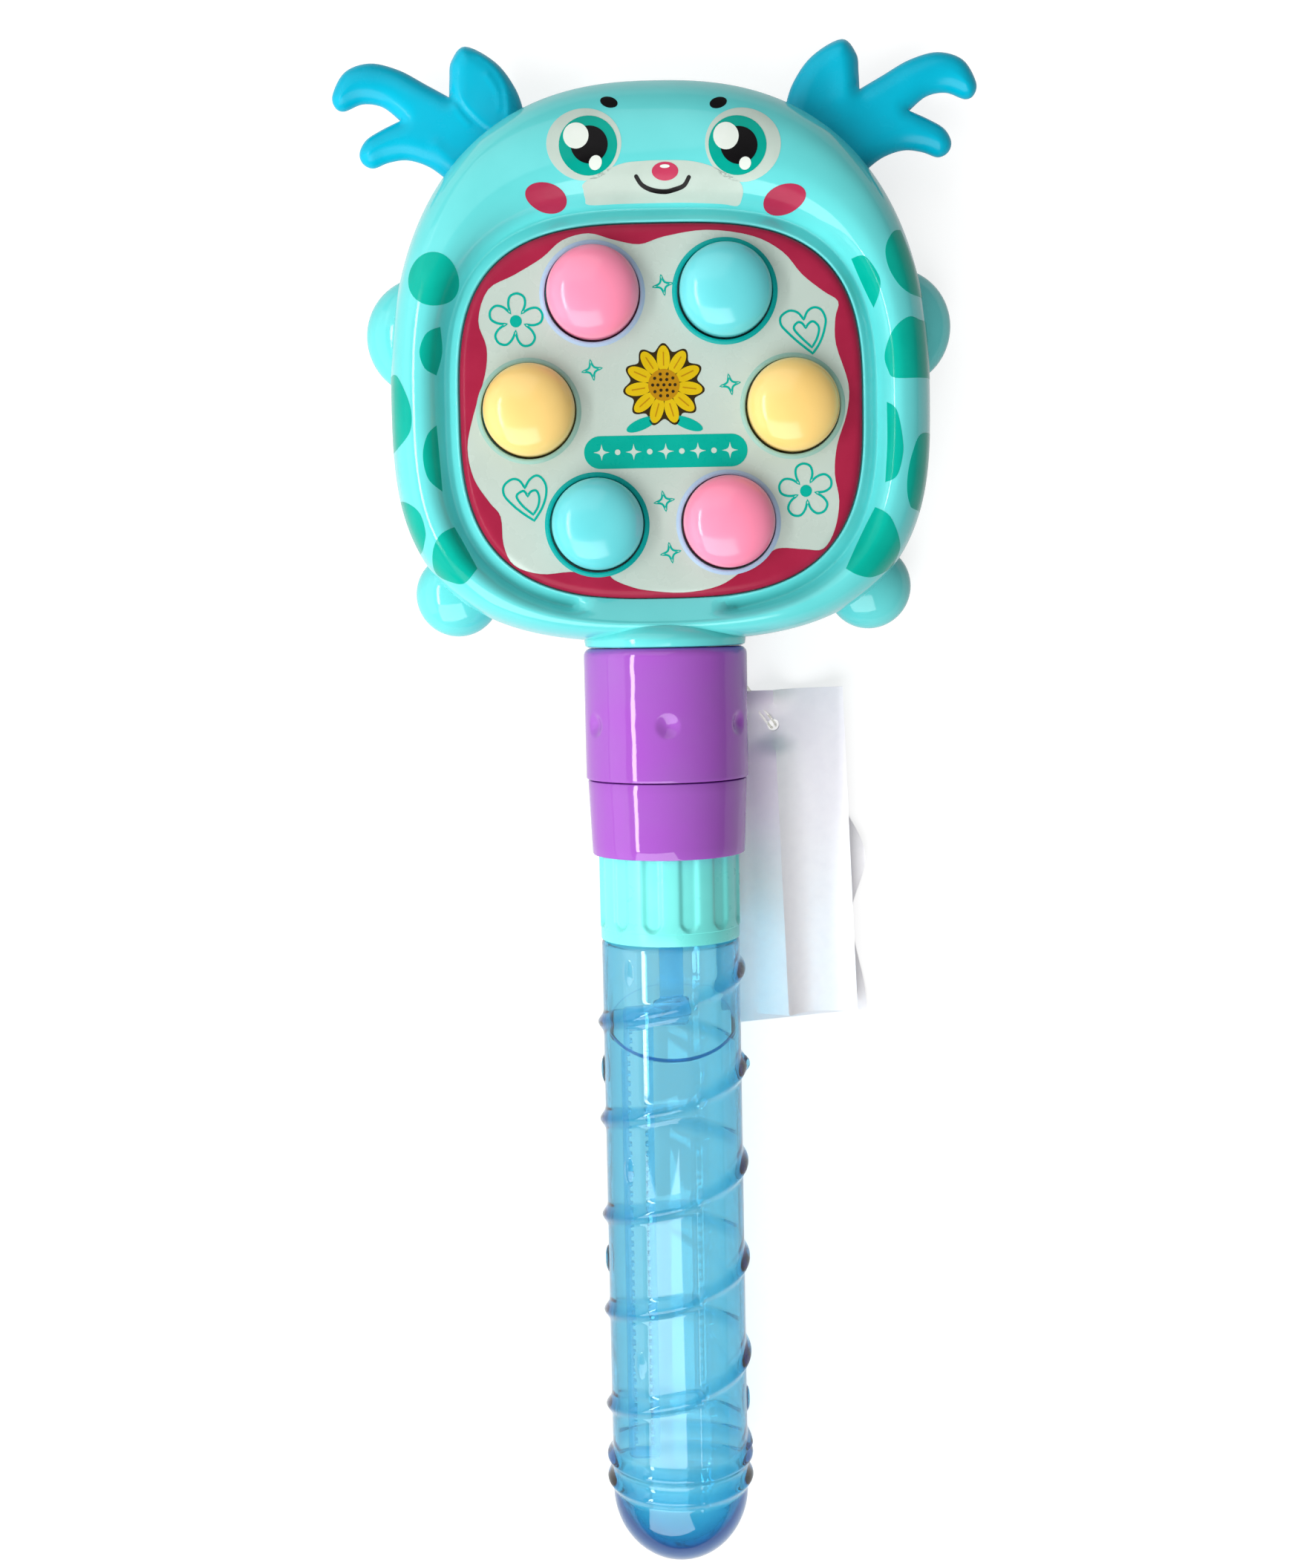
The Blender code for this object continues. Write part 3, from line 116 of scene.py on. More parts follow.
class Graph:
    """A node material that is being put together."""

    middle_range: tuple[float, float] = (0.3, 0.7)

    def __init__(self, title: str) -> None:
        """Makes a material with one Principled shader.

        Args:
            title: The material's name.
        """
        self.material = bpy.data.materials.new(title)
        self.material.use_nodes = True
        self.tree = self.material.node_tree
        self.shader = self.tree.nodes["Principled BSDF"]
        self.output = self.tree.nodes["Material Output"]

    @cached_property
    def place(self) -> Socket:
        """The object's own coordinates, added when a pattern first needs them."""
        return add_node(self.tree, "TexCoord").outputs["Object"]

    def set(self, **values: float | tuple) -> None:
        """Sets constants on the shader's own sockets; an underscore stands for a space."""
        for name, value in values.items():
            self.shader.inputs[name.replace("_", " ")].default_value = value

    def noise(self, scale: float, detail: float = 2.0, stretch: Place = (1.0, 1.0, 1.0)) -> Socket:
        """Adds a noise pattern.

        Args:
            scale: Cycles per metre.
            detail: Octaves of finer noise.
            stretch: How much the pattern is squeezed along each axis.

        Returns:
            The pattern's value socket.
        """
        mapping = add_node(self.tree, "Mapping", Scale=stretch)
        self.tree.links.new(self.place, mapping.inputs["Vector"])
        pattern = add_node(self.tree, "TexNoise", Scale=scale, Detail=detail)
        self.tree.links.new(mapping.outputs["Vector"], pattern.inputs["Vector"])
        return pattern.outputs["Fac"]

    def spread(self, pattern: Socket, low: float, high: float) -> Socket:
        """Maps a pattern's middle range onto the range from low to high."""
        start, end = self.middle_range
        step = add_node(self.tree, "MapRange", From_Min=start, From_Max=end, To_Min=low, To_Max=high)
        self.tree.links.new(pattern, step.inputs["Value"])
        return step.outputs["Result"]

    def mottle(self, pattern: Socket, colour: Rgb, shade: Rgb) -> None:
        """Lets the base colour drift between two near colours as a pattern does."""
        mix = self.tree.nodes.new("ShaderNodeMix")
        mix.data_type = "RGBA"
        share, first, second = mix.inputs[0], mix.inputs[6], mix.inputs[7]
        first.default_value, second.default_value = linear(colour), linear(shade)
        self.tree.links.new(self.spread(pattern, 0.0, 1.0), share)
        self.tree.links.new(mix.outputs[2], self.shader.inputs["Base Color"])

    def roughness(self, pattern: Socket, low: float, high: float) -> None:
        """Lets the roughness follow a pattern from low to high."""
        self.tree.links.new(self.spread(pattern, low, high), self.shader.inputs["Roughness"])

    def bump(self, pattern: Socket, height: float) -> None:
        """Adds a bump of a height in metres, under any that is there already."""
        step = add_node(self.tree, "Bump", Distance=height, Strength=1.0)
        self.tree.links.new(pattern, step.inputs["Height"])
        before = self.shader.inputs["Normal"].links
        if before:
            self.tree.links.new(before[0].from_socket, step.inputs["Normal"])
        self.tree.links.new(step.outputs["Normal"], self.shader.inputs["Normal"])


@dataclass(frozen=True)
class Finish:
    """What a piece is made of; its material is built once, under its title."""

    title: str

    def material(self) -> bpy.types.Material:
        """Builds the finish, or returns the one built before."""
        found = bpy.data.materials.get(self.title)
        if found:
            return found
        graph = Graph(self.title)
        self.paint(graph)
        return graph.material

    def paint(self, graph: Graph) -> None:
        """Sets up the finish; each kind has its own way."""
        raise NotImplementedError


@dataclass(frozen=True)
class Moulded(Finish):
    """A pigmented, injection-moulded plastic: faint flow mottle, uneven gloss and slight sink waves."""

    colour: Rgb
    shade: Rgb
    rough: float = 0.2
    wave: float = 0.00004
    wave_scale: float = 70.0
    ripple: float = 0.0
    ior: float = 1.46

    def paint(self, graph: Graph) -> None:
        """Sets up the moulded plastic."""
        graph.mottle(graph.noise(45.0, 3.0), self.colour, self.shade)
        graph.roughness(graph.noise(160.0, 4.0), self.rough * 0.8, self.rough * 1.3)
        graph.bump(graph.noise(self.wave_scale, 1.0), self.wave)
        if self.ripple:
            graph.bump(graph.noise(260.0, 2.0, (1.0, 0.1, 1.0)), self.ripple)
        graph.bump(graph.noise(1800.0), 0.000004)
        graph.set(IOR=self.ior)


@dataclass(frozen=True)
class Film(Finish):
    """A printed ink film: dense colour with a fine screen-print grain and its own low gloss."""

    colour: Rgb
    shade: Rgb
    rough: float = 0.3

    def paint(self, graph: Graph) -> None:
        """Sets up the ink."""
        graph.mottle(graph.noise(120.0, 4.0), self.colour, self.shade)
        graph.roughness(graph.noise(900.0), self.rough * 0.85, self.rough * 1.2)
        graph.bump(graph.noise(2500.0), 0.000006)
        graph.set(IOR=1.2)


@dataclass(frozen=True)
class Clear(Finish):
    """A clear or translucent plastic or liquid, tinted by its thickness."""

    absorb: tuple[float, float, float]
    density: float
    ior: float
    rough: float
    wave: float = 0.0
    tint: Rgb = (255, 255, 255)
    transmission: float = 1.0
    coat: float = 0.0

    def paint(self, graph: Graph) -> None:
        """Sets up the clear material, with what it absorbs on the way through."""
        graph.set(Base_Color=linear(self.tint), IOR=self.ior, Roughness=self.rough,
                  Transmission_Weight=self.transmission, Coat_Weight=self.coat, Coat_Roughness=0.03)
        if self.wave:
            graph.bump(graph.noise(90.0, 2.0, (1.0, 0.35, 1.0)), self.wave)
        if self.density:
            inside = add_node(graph.tree, "VolumeAbsorption", Color=(*self.absorb, 1.0), Density=self.density)
            graph.tree.links.new(inside.outputs["Volume"], graph.output.inputs["Volume"])


@dataclass(frozen=True)
class Paper(Finish):
    """Coated leaflet paper with a faint fibre pattern and handling waves."""

    colour: Rgb
    shade: Rgb

    def paint(self, graph: Graph) -> None:
        """Sets up the paper."""
        graph.mottle(graph.noise(300.0, 5.0), self.colour, self.shade)
        graph.roughness(graph.noise(1500.0, 3.0), 0.5, 0.7)
        graph.bump(graph.noise(2200.0, 3.0, (1.0, 0.3, 1.0)), 0.00001)
        graph.bump(graph.noise(35.0, 1.0), 0.0002)


@dataclass(frozen=True)
class Metal(Finish):
    """Plated steel with fine turning marks and a little dulling."""

    colour: Rgb
    shade: Rgb
    rough: float = 0.3

    def paint(self, graph: Graph) -> None:
        """Sets up the metal."""
        graph.mottle(graph.noise(400.0, 4.0), self.colour, self.shade)
        graph.roughness(graph.noise(1200.0, 3.0, (1.0, 8.0, 1.0)), self.rough * 0.7, self.rough * 1.4)
        graph.bump(graph.noise(3000.0, 2.0, (1.0, 10.0, 1.0)), 0.00001)
        graph.set(Metallic=1.0)


TURQUOISE = Moulded("turquoise_plastic", (102, 213, 213), (94, 206, 206), rough=0.08, wave=0.00005)
PANEL_WHITE = Moulded("panel_plastic", (184, 199, 190), (177, 192, 183), rough=0.26)
PINK = Moulded("pink_plastic", (253, 146, 178), (250, 138, 170), rough=0.16, wave=0.00003)
SKY = Moulded("sky_plastic", (108, 212, 218), (98, 205, 211), rough=0.16, wave=0.00003)
YELLOW = Moulded("yellow_plastic", (246, 210, 130), (242, 202, 118), rough=0.16, wave=0.00003)
ANTLER_BLUE = Moulded("antler_vinyl", (0, 180, 210), (0, 170, 200), rough=0.24, wave=0.0002,
                      wave_scale=110.0, ior=1.25)
PURPLE = Moulded("purple_plastic", (154, 88, 183), (158, 78, 188), rough=0.05, wave=0.00007,
                 wave_scale=150.0, ripple=0.000014)
AQUA = Moulded("aqua_plastic", (122, 232, 226), (112, 224, 217), rough=0.3)
RUBBER_GREY = Moulded("grey_rubber", (195, 195, 190), (182, 182, 176), rough=0.6)
BLACK_PLASTIC = Moulded("black_plastic", (48, 48, 52), (38, 38, 42), rough=0.35)
BOARD_GREEN = Moulded("board_laminate", (30, 120, 78), (24, 104, 66), rough=0.35)
CELL_GREEN = Moulded("cell_jacket", (60, 120, 92), (50, 106, 80), rough=0.25)
LED_CLEAR = Moulded("lamp_resin", (240, 240, 230), (228, 228, 214), rough=0.1)

MAGENTA_INK = Film("magenta_ink", (160, 36, 66), (152, 30, 60), rough=0.22)
TEAL_INK = Film("teal_ink", (6, 164, 146), (0, 156, 139), rough=0.3)
SPOT_INK = Film("spot_ink", (6, 172, 152), (0, 164, 145), rough=0.14)
EYE_WHITE_INK = Film("eye_white_ink", (190, 206, 196), (182, 198, 188), rough=0.24)
HIGHLIGHT_INK = Film("highlight_ink", (226, 233, 226), (220, 228, 219), rough=0.24)
IRIS_INK = Film("iris_ink", (0, 162, 144), (0, 152, 135), rough=0.2)
BLACK_INK = Film("black_ink", (16, 14, 16), (10, 9, 10), rough=0.22)
CHEEK_INK = Film("cheek_ink", (164, 44, 74), (174, 48, 80), rough=0.2)
NOSE_INK = Film("nose_ink", (192, 62, 94), (184, 55, 86), rough=0.2)
GOLD_INK = Film("gold_ink", (206, 176, 22), (198, 166, 14), rough=0.3)
AMBER_INK = Film("amber_ink", (176, 128, 20), (168, 120, 14), rough=0.3)
BROWN_INK = Film("brown_ink", (52, 40, 18), (44, 34, 14), rough=0.3)
# Ring colours are painted light: each is the turquoise ring in painted shade with a painted reflection of its
# button's colour, lavender by pink, teal by teal and grey-green by yellow.
RING_TEAL_SHADE_AND_REFLECTION = Film("ring_teal", (10, 160, 155), (4, 150, 146), rough=0.25)
RING_LAVENDER_SHADE_AND_REFLECTION = Film("ring_lavender_painted_shade_and_reflection", (165, 188, 212), (156, 178, 204), rough=0.25)
RING_GREY_GREEN_SHADE_AND_REFLECTION = Film("ring_grey_green_painted_shade_and_reflection", (150, 188, 176), (140, 178, 166), rough=0.25)

TUBE_BLUE = Clear("clear_blue_plastic", (0.42, 0.836, 0.922), density=680.0, ior=1.1, rough=0.0,
                  wave=0.00006, coat=0.9)
LIQUID = Clear("bubble_liquid", (0.2, 0.8, 0.95), density=6.0, ior=1.06, rough=0.0)
# A painted shade: a dense dark-blue ring at the liquid's level, which stands in for the dark line that light
# makes there.
MENISCUS_PAINTED_SHADE = Clear("liquid_edge_painted_shade", (0.02, 0.55, 0.86), density=2600.0, ior=1.1, rough=0.02)
WAND_BLUE = Clear("wand_plastic", (0.3, 0.75, 0.95), density=120.0, ior=1.2, rough=0.12, wave=0.00003,
                  tint=(200, 235, 250), transmission=0.8)
NYLON = Clear("clear_nylon", (0.9, 0.9, 0.85), density=0.0, ior=1.12, rough=0.04, tint=(228, 228, 220))
PAPER_WHITE = Paper("leaflet_paper", (250, 249, 252), (245, 244, 248))
STEEL = Metal("plated_steel", (200, 198, 194), (184, 182, 178), rough=0.28)


def add_object(name: str, data: bpy.types.ID) -> Item:
    """Puts a new object in the scene."""
    item = bpy.data.objects.new(name, data)
    bpy.context.scene.collection.objects.link(item)
    return item


class Form:
    """A mesh that is being built in millimetres."""

    def __init__(self) -> None:
        """Starts with no points and no faces."""
        self.points: list[Place] = []
        self.faces: list[tuple[int, ...]] = []

    def ring(self, places: Sequence[Place]) -> list[int]:
        """Adds a row of points.

        Args:
            places: The points.

        Returns:
            Their numbers.
        """
        start = len(self.points)
        self.points.extend(tuple(place) for place in places)
        return list(range(start, len(self.points)))

    def band(self, first: Sequence[int], second: Sequence[int], closed: bool = True) -> None:
        """Joins two rows of equally many points with four-sided faces.

        Args:
            first: Numbers of one row.
            second: Numbers of the other.
            closed: Whether the rows go all the way round.
        """
        count = len(first)
        for i in range(count if closed else count - 1):
            j = (i + 1) % count
            self.faces.append((first[i], first[j], second[j], second[i]))

    def bands(self, rows: Sequence[Sequence[int]], closed: bool = True) -> None:
        """Joins each row to the next."""
        for first, second in zip(rows, rows[1:]):
            self.band(first, second, closed)

    def fan(self, row: Sequence[int], tip: Place) -> None:
        """Closes a ring onto a point.

        Args:
            row: Numbers of the ring.
            tip: The point.
        """
        end = self.ring([tip])[0]
        for i in range(len(row)):
            self.faces.append((row[i], row[(i + 1) % len(row)], end))

    def cap(self, row: Sequence[int]) -> None:
        """Closes a ring with one face."""
        self.faces.append(tuple(row))

    def sheet(self, tops: Sequence[Place], backs: Sequence[Place],
              triangles: Sequence[Sequence[int]]) -> None:
        """Adds a thin sheet with a face, a back and a closed edge.

        Args:
            tops: Points of the face.
            backs: Points of the back, in the same order.
            triangles: Numbers of each triangle's points.
        """
        top, back = self.ring(tops), self.ring(backs)
        edges = set()
        for a, b, c in triangles:
            self.faces += [(top[a], top[b], top[c]), (back[c], back[b], back[a])]
            edges |= {(a, b), (b, c), (c, a)}
        self.faces += [(top[a], back[a], back[b], top[b]) for a, b in edges if (b, a) not in edges]

    def add(self, other: "Form") -> None:
        """Puts another form in as a separate body."""
        start = len(self.points)
        self.points.extend(other.points)
        self.faces.extend(tuple(i + start for i in face) for face in other.faces)

    def mesh(self, name: str) -> bpy.types.Mesh:
        """Writes the form as a mesh in metres, with its faces pointing out.

        Args:
            name: The mesh's name.

        Returns:
            The mesh.
        """
        mesh = bpy.data.meshes.new(name)
        mesh.from_pydata([(x * MM, y * MM, z * MM) for x, y, z in self.points], [], self.faces)
        shape = bmesh.new()
        shape.from_mesh(mesh)
        bmesh.ops.remove_doubles(shape, verts=shape.verts, dist=1e-7)
        bmesh.ops.dissolve_degenerate(shape, edges=shape.edges, dist=1e-7)
        bmesh.ops.recalc_face_normals(shape, faces=shape.faces)
        shape.to_mesh(mesh)
        shape.free()
        return mesh

    def tool(self, name: str) -> Item:
        """Makes a hidden object, for use in a Boolean."""
        item = add_object(name, self.mesh(name))
        item.hide_render = True
        return item

    def piece(self, name: str, finish: Finish, smooth: float) -> Item:
        """Makes a shown object; the finish and the angle are those of dress."""
        item = add_object(name, self.mesh(name))
        dress(item, finish, smooth)
        return item


def dress(item: Item, finish: Finish, smooth: float) -> None:
    """Gives an object a finish and smooth shading.

    Args:
        item: The object.
        finish: What it is made of.
        smooth: Edges sharper than this many degrees stay sharp.
    """
    item.data.materials.clear()
    item.data.materials.append(finish.material())
    item.data.shade_smooth()
    item.data.set_sharp_from_angle(angle=radians(smooth))


def carve(item: Item, operation: str, *tools: Item) -> None:
    """Cuts tools out of an object or joins them to it, and removes them.

    Args:
        item: The object, whose mesh is replaced.
        operation: DIFFERENCE, UNION or INTERSECT.
        tools: The other objects.
    """
    for tool in tools:
        step = item.modifiers.new(tool.name, "BOOLEAN")
        step.operation = operation
        step.solver = "EXACT"
        step.object = tool
    bpy.context.view_layer.update()
    shape = item.evaluated_get(bpy.context.evaluated_depsgraph_get())
    mesh = bpy.data.meshes.new_from_object(shape)
    item.modifiers.clear()
    item.data = mesh
    for tool in tools:
        bpy.data.objects.remove(tool, do_unlink=True)


def fit(item: Item, body: str, slot: str, *nodes: str) -> None:
    """Puts a piece on its body and hides the nodes that it stands for.

    Args:
        item: The piece.
        body: The body that it rides on.
        slot: Not used.
        nodes: Nodes that it replaces.
    """
    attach(item, body)
    if nodes:
        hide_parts(*nodes)
    LOG.info("%s rides on %s", item.name, body)


def finish_carved(item: Item, finish: Finish, smooth: float, body: str, slot: str, *nodes: str) -> None:
    """Shows a carved object as a piece; the arguments are those of dress and fit."""
    item.hide_render = False
    dress(item, finish, smooth)
    fit(item, body, slot, *nodes)


def polar(centre: Point, reach: float, turn: float) -> Point:
    """Returns the point at a distance and an angle, in radians, from a centre."""
    return (centre[0] + reach * cos(turn), centre[1] + reach * sin(turn))


def around(count: int) -> list[float]:
    """Returns evenly spaced angles of a full turn, from 0."""
    return [2.0 * pi * i / count for i in range(count)]


def circle(radius: float, centre: Point = (0.0, 0.0), sides: int = 48) -> Loop:
    """Returns points of a circle."""
    return [polar(centre, radius, turn) for turn in around(sides)]


def smooth_line(points: Sequence[tuple], steps: int, closed: bool = False) -> list[tuple]:
    """Draws a smooth curve through points.

    Args:
        points: Points of two or three coordinates.
        steps: Points made for each given one.
        closed: Whether the curve joins up.

    Returns:
        The curve's points.
    """
    if closed:
        padded = [points[-1], *points, points[0], points[1]]
    else:
        padded = [points[0], *points, points[-1]]
    run = []
    for a, b, c, d in zip(padded, padded[1:], padded[2:], padded[3:]):
        for i in range(steps):
            t = i / steps
            run.append(tuple(
                0.5 * (2 * q + (r - p) * t + (2 * p - 5 * q + 4 * r - s) * t * t
                       + (3 * q - p - 3 * r + s) * t ** 3) for p, q, r, s in zip(a, b, c, d)))
    if not closed:
        run.append(tuple(points[-1]))
    return run


def cornered(points: Sequence[Point], steps: int, corners: Sequence[int]) -> Loop:
    """Draws a closed curve that is smooth except at the corners.

    Args:
        points: The curve's points.
        steps: Points made for each given one.
        corners: Numbers of the points that are sharp.

    Returns:
        The curve's points.
    """
    run = []
    count = len(points)
    for start, end in zip(corners, [*corners[1:], corners[0] + count]):
        run += smooth_line([points[i % count] for i in range(start, end + 1)], steps)[:-1]
    return run


def within(places: np.ndarray, loop: Loop) -> np.ndarray:
    """Tells which places lie inside a closed loop.

    Args:
        places: An array of x and y.
        loop: The loop.

    Returns:
        True for each place inside.
    """
    x, y = places[:, 0], places[:, 1]
    inside = np.zeros(len(places), bool)
    for (ax, ay), (bx, by) in zip(loop, [*loop[1:], loop[0]]):
        if ay == by:
            continue
        crosses = (ay > y) != (by > y)
        inside ^= crosses & (x < (bx - ax) * (y - ay) / (by - ay) + ax)
    return inside


def edge_distance(places: np.ndarray, loop: Loop) -> np.ndarray:
    """Returns each place's distance from a closed loop."""
    near = np.full(len(places), np.inf)
    ends = np.array(loop, float)
    for a, b in zip(ends, np.roll(ends, -1, axis=0)):
        along = b - a
        share = np.clip(((places - a) @ along) / max(along @ along, 1e-12), 0.0, 1.0)
        near = np.minimum(near, np.linalg.norm(places - a - share[:, None] * along, axis=1))
    return near


def line_distance(places: np.ndarray, line: Loop) -> tuple[np.ndarray, np.ndarray]:
    """Measures places from an open line.

    Args:
        places: An array of x and y.
        line: The line's points.

    Returns:
        Each place's distance, and a number that is above 0 to the left of the line's nearest part.
    """
    near = np.full(len(places), np.inf)
    side = np.zeros(len(places))
    ends = np.array(line, float)
    for a, b in zip(ends, ends[1:]):
        along = b - a
        share = np.clip(((places - a) @ along) / max(along @ along, 1e-12), 0.0, 1.0)
        away = np.linalg.norm(places - a - share[:, None] * along, axis=1)
        cross = along[0] * (places[:, 1] - a[1]) - along[1] * (places[:, 0] - a[0])
        closer = away < near - 1e-9
        near[closer] = away[closer]
        side[closer] = cross[closer]
    return near, side


@dataclass
class Region:
    """A flat region: inside every one of some loops and outside all of some others."""

    inside: list[Loop]
    outside: list[Loop] = field(default_factory=list)

    def holds(self, places: np.ndarray) -> np.ndarray:
        """Tells which places lie in the region."""
        held = np.ones(len(places), bool)
        for loop in self.inside:
            held &= within(places, loop)
        for loop in self.outside:
            held &= ~within(places, loop)
        return held

    def triangles(self, lines: Sequence[tuple[Point, Point]] = ()
                  ) -> tuple[np.ndarray, list[tuple[int, ...]]]:
        """Fills the region with triangles.

        Args:
            lines: Lines that the triangles' edges follow, where they cross the region.

        Returns:
            The points, and the triangles' point numbers.
        """
        loops = self.inside + self.outside
        corners = [Vector(p) for loop in loops for p in loop]
        edges = []
        start = 0
        for loop in loops:
            edges += [(start + i, start + (i + 1) % len(loop)) for i in range(len(loop))]
            start += len(loop)
        margin = 0.5
        low = np.max([np.min(loop, axis=0) for loop in self.inside], axis=0) - margin
        high = np.min([np.max(loop, axis=0) for loop in self.inside], axis=0) + margin
        for a, b in lines:
            (left, right), (down, up) = sorted((a[0], b[0])), sorted((a[1], b[1]))
            if right < low[0] or left > high[0] or up < low[1] or down > high[1]:
                continue
            edges.append((len(corners), len(corners) + 1))
            corners += [Vector(a), Vector(b)]
        verts, _, faces, *_ = geometry.delaunay_2d_cdt(corners, edges, [], 0, 1e-4)
        places = np.array([(v.x, v.y) for v in verts], float)
        middles = np.array([places[list(face)].mean(axis=0) for face in faces])
        return places, [tuple(face) for face, held in zip(faces, self.holds(middles)) if held]


def oval(shape: Oval, tilt: float = 0.0, sides: int = 48) -> Region:
    """An ellipse from its centre and half sizes, tilted anticlockwise by some degrees."""
    x, y, half_width, half_height = shape
    c, s = cos(radians(tilt)), sin(radians(tilt))
    return Region([[(x + a * half_width * c - b * half_height * s,
                     y + a * half_width * s + b * half_height * c) for a, b in circle(1.0, sides=sides)]])


def grid_over(low: Point, high: Point, spacing: float) -> np.ndarray:
    """Returns evenly spaced places over a rectangle."""
    return np.array([(x, y) for x in np.arange(low[0], high[0], spacing)
                     for y in np.arange(low[1], high[1], spacing)], float)


def grid_lines(low: Point, high: Point, spacing: float) -> list[tuple[Point, Point]]:
    """Returns evenly spaced lines across a rectangle, both ways."""
    upright = [((x, low[1]), (x, high[1])) for x in np.arange(low[0], high[0], spacing)]
    return upright + [((low[0], y), (high[0], y)) for y in np.arange(low[1], high[1], spacing)]


def stroke(points: Sequence[Point], width: float, closed: bool) -> Region:
    """A line of a pen with a round tip, as a region.

    Args:
        points: The line's middle.
        width: The line's width.
        closed: Whether the line joins up.

    Returns:
        The region that the ink covers.
    """
    line = np.array(points, float)
    if closed:
        ahead, behind = np.roll(line, -1, axis=0), np.roll(line, 1, axis=0)
    else:
        ahead, behind = np.vstack((line[1:], line[-1:])), np.vstack((line[:1], line[:-1]))
    along = ahead - behind
    along /= np.maximum(np.linalg.norm(along, axis=1), 1e-9)[:, None]
    across = np.stack((-along[:, 1], along[:, 0]), axis=1) * width / 2.0
    left, right = line + across, line - across
    if closed:
        first, second = [tuple(p) for p in left], [tuple(p) for p in right]
        area = sum(a[0] * b[1] - b[0] * a[1] for a, b in zip(points, [*points[1:], points[0]]))
        return Region([second], [first]) if area > 0.0 else Region([first], [second])
    steps = 6
    tips = []
    for centre, direction in ((line[-1], across[-1]), (line[0], -across[0])):
        base = math.atan2(direction[1], direction[0])
        tips.append([polar(centre, width / 2.0, base - pi * k / steps) for k in range(1, steps)])
    outline = [tuple(p) for p in left] + tips[0] + [tuple(p) for p in right[::-1]] + tips[1]
    return Region([outline])


Films = dict[str, tuple[Film, Layer, list[Region]]]


class Carrier:
    """A surface that prints are laid on from above; a film bends where the surface does."""

    ray_start: float = 90.0
    nudge: float = 0.002
    level: float = 0.05
    shortest: float = 0.02
    sink: float = 0.12

    def __init__(self, form: Form) -> None:
        """Takes the surface.

        Args:
            form: The surface, in millimetres.
        """
        self.tree = BVHTree.FromPolygons([Vector(p) for p in form.points], form.faces, epsilon=0.0)
        seen = []
        for x, y, z in form.points:
            hit = self.cast(x, y)[0]
            seen.append(hit is not None and abs(hit.z - z) < self.level)
        pairs = {tuple(sorted(pair)) for face in form.faces for pair in zip(face, (*face[1:], face[0]))}
        flat = [point[:2] for point in form.points]
        self.lines = [(flat[a], flat[b]) for a, b in sorted(pairs)
                      if seen[a] and seen[b] and math.dist(flat[a], flat[b]) > self.shortest]

    def cast(self, x: float, y: float) -> tuple:
        """Looks down at a place, a little beside it, so that no ray runs along an edge."""
        start = Vector((x + self.nudge, y + self.nudge, self.ray_start))
        return self.tree.ray_cast(start, Vector((0.0, 0.0, -1.0)))

    def under(self, x: float, y: float) -> tuple[Vector, Vector]:
        """Finds the surface at a place.

        Args:
            x: Place to the right.
            y: Place up the face.

        Returns:
            The point on the surface and its normal, which points up.
        """
        hit, normal, *_ = self.cast(x, y)
        if hit is None:
            raise ValueError(f"nothing lies under the print at {x:.1f}, {y:.1f}")
        return Vector((x, y, hit.z)), normal if normal.z > 0.0 else -normal

    def lay(self, regions: Sequence[Region], layer: Layer) -> Form:
        """Lays a film over the surface.

        Args:
            regions: What the film covers.
            layer: How far its face stands off the surface.

        Returns:
            The film as one form.
        """
        film = Form()
        for region in regions:
            places, triangles = region.triangles(self.lines)
            used = sorted({i for triangle in triangles for i in triangle})
            number = {old: new for new, old in enumerate(used)}
            tops, backs = [], []
            for i in used:
                place, normal = self.under(*places[i])
                tops.append(tuple(place + normal * layer.value))
                backs.append(tuple(place - Vector((0.0, 0.0, self.sink))))
            film.sheet(tops, backs, [[number[i] for i in triangle] for triangle in triangles])
        return film

    def show(self, films: Films, slot: str) -> None:
        """Lays each film by its ink, layer and regions, and shows it on the head."""
        for name, (ink, layer, regions) in films.items():
            fit(self.lay(regions, layer).piece(name, ink, 40.0), "head", slot)


def turned(profile: Sequence[Point], sides: int, place: Callable[[float, float, float], Place],
           shape: Callable[[float, float, float], float] | None = None) -> Form:
    """Turns a profile about an axis; it closes on itself, or on the axis where a radius is 0.

    Args:
        profile: Radius and height of each point.
        sides: Points round the axis.
        place: Turns radius, height and angle into a point.
        shape: Changes the radius, from radius, height and angle.

    Returns:
        The turned form.
    """
    form = Form()
    angles = around(sides)
    rows: list[list[int]] = []
    for radius, height in profile:
        if radius == 0.0:
            tip = form.ring([place(0.0, height, 0.0)])[0]
            rows.append([tip] * sides)
            continue
        rows.append(form.ring([place(shape(radius, height, a) if shape else radius, height, a)
                               for a in angles]))
    pairs = list(zip(rows, rows[1:]))
    if profile[0][0] != 0.0:
        pairs.append((rows[-1], rows[0]))
    for low, high in pairs:
        for i in range(sides):
            j = (i + 1) % sides
            corners = list(dict.fromkeys((low[i], low[j], high[j], high[i])))
            if len(corners) > 2:
                form.faces.append(tuple(corners))
    return form


def turned_up(profile: Sequence[Point], centre: Point, sides: int = 64) -> Form:
    """Turns a profile of radius and z about a vertical axis."""
    return turned(profile, sides, lambda r, h, a: (*polar(centre, r, a), h))


def post(centre: Point, radius: float, low: float, high: float, sides: int = 48) -> Form:
    """A round post along Z, to cut with or to join."""
    return turned_up(((0.0, low), (radius, low), (radius, high), (0.0, high)), centre, sides)


def on_stick(radius: float, y: float, angle: float) -> Place:
    """Returns a point round the stick's axis; angle 0 faces the front."""
    return (radius * sin(angle), y, STICK_Z + radius * cos(angle))


def turned_on_stick(profile: Sequence[Point], sides: int,
                    shape: Callable[[float, float, float], float] | None = None) -> Form:
    """Turns a profile of radius and y about the stick's axis."""
    return turned(profile, sides, on_stick, shape)


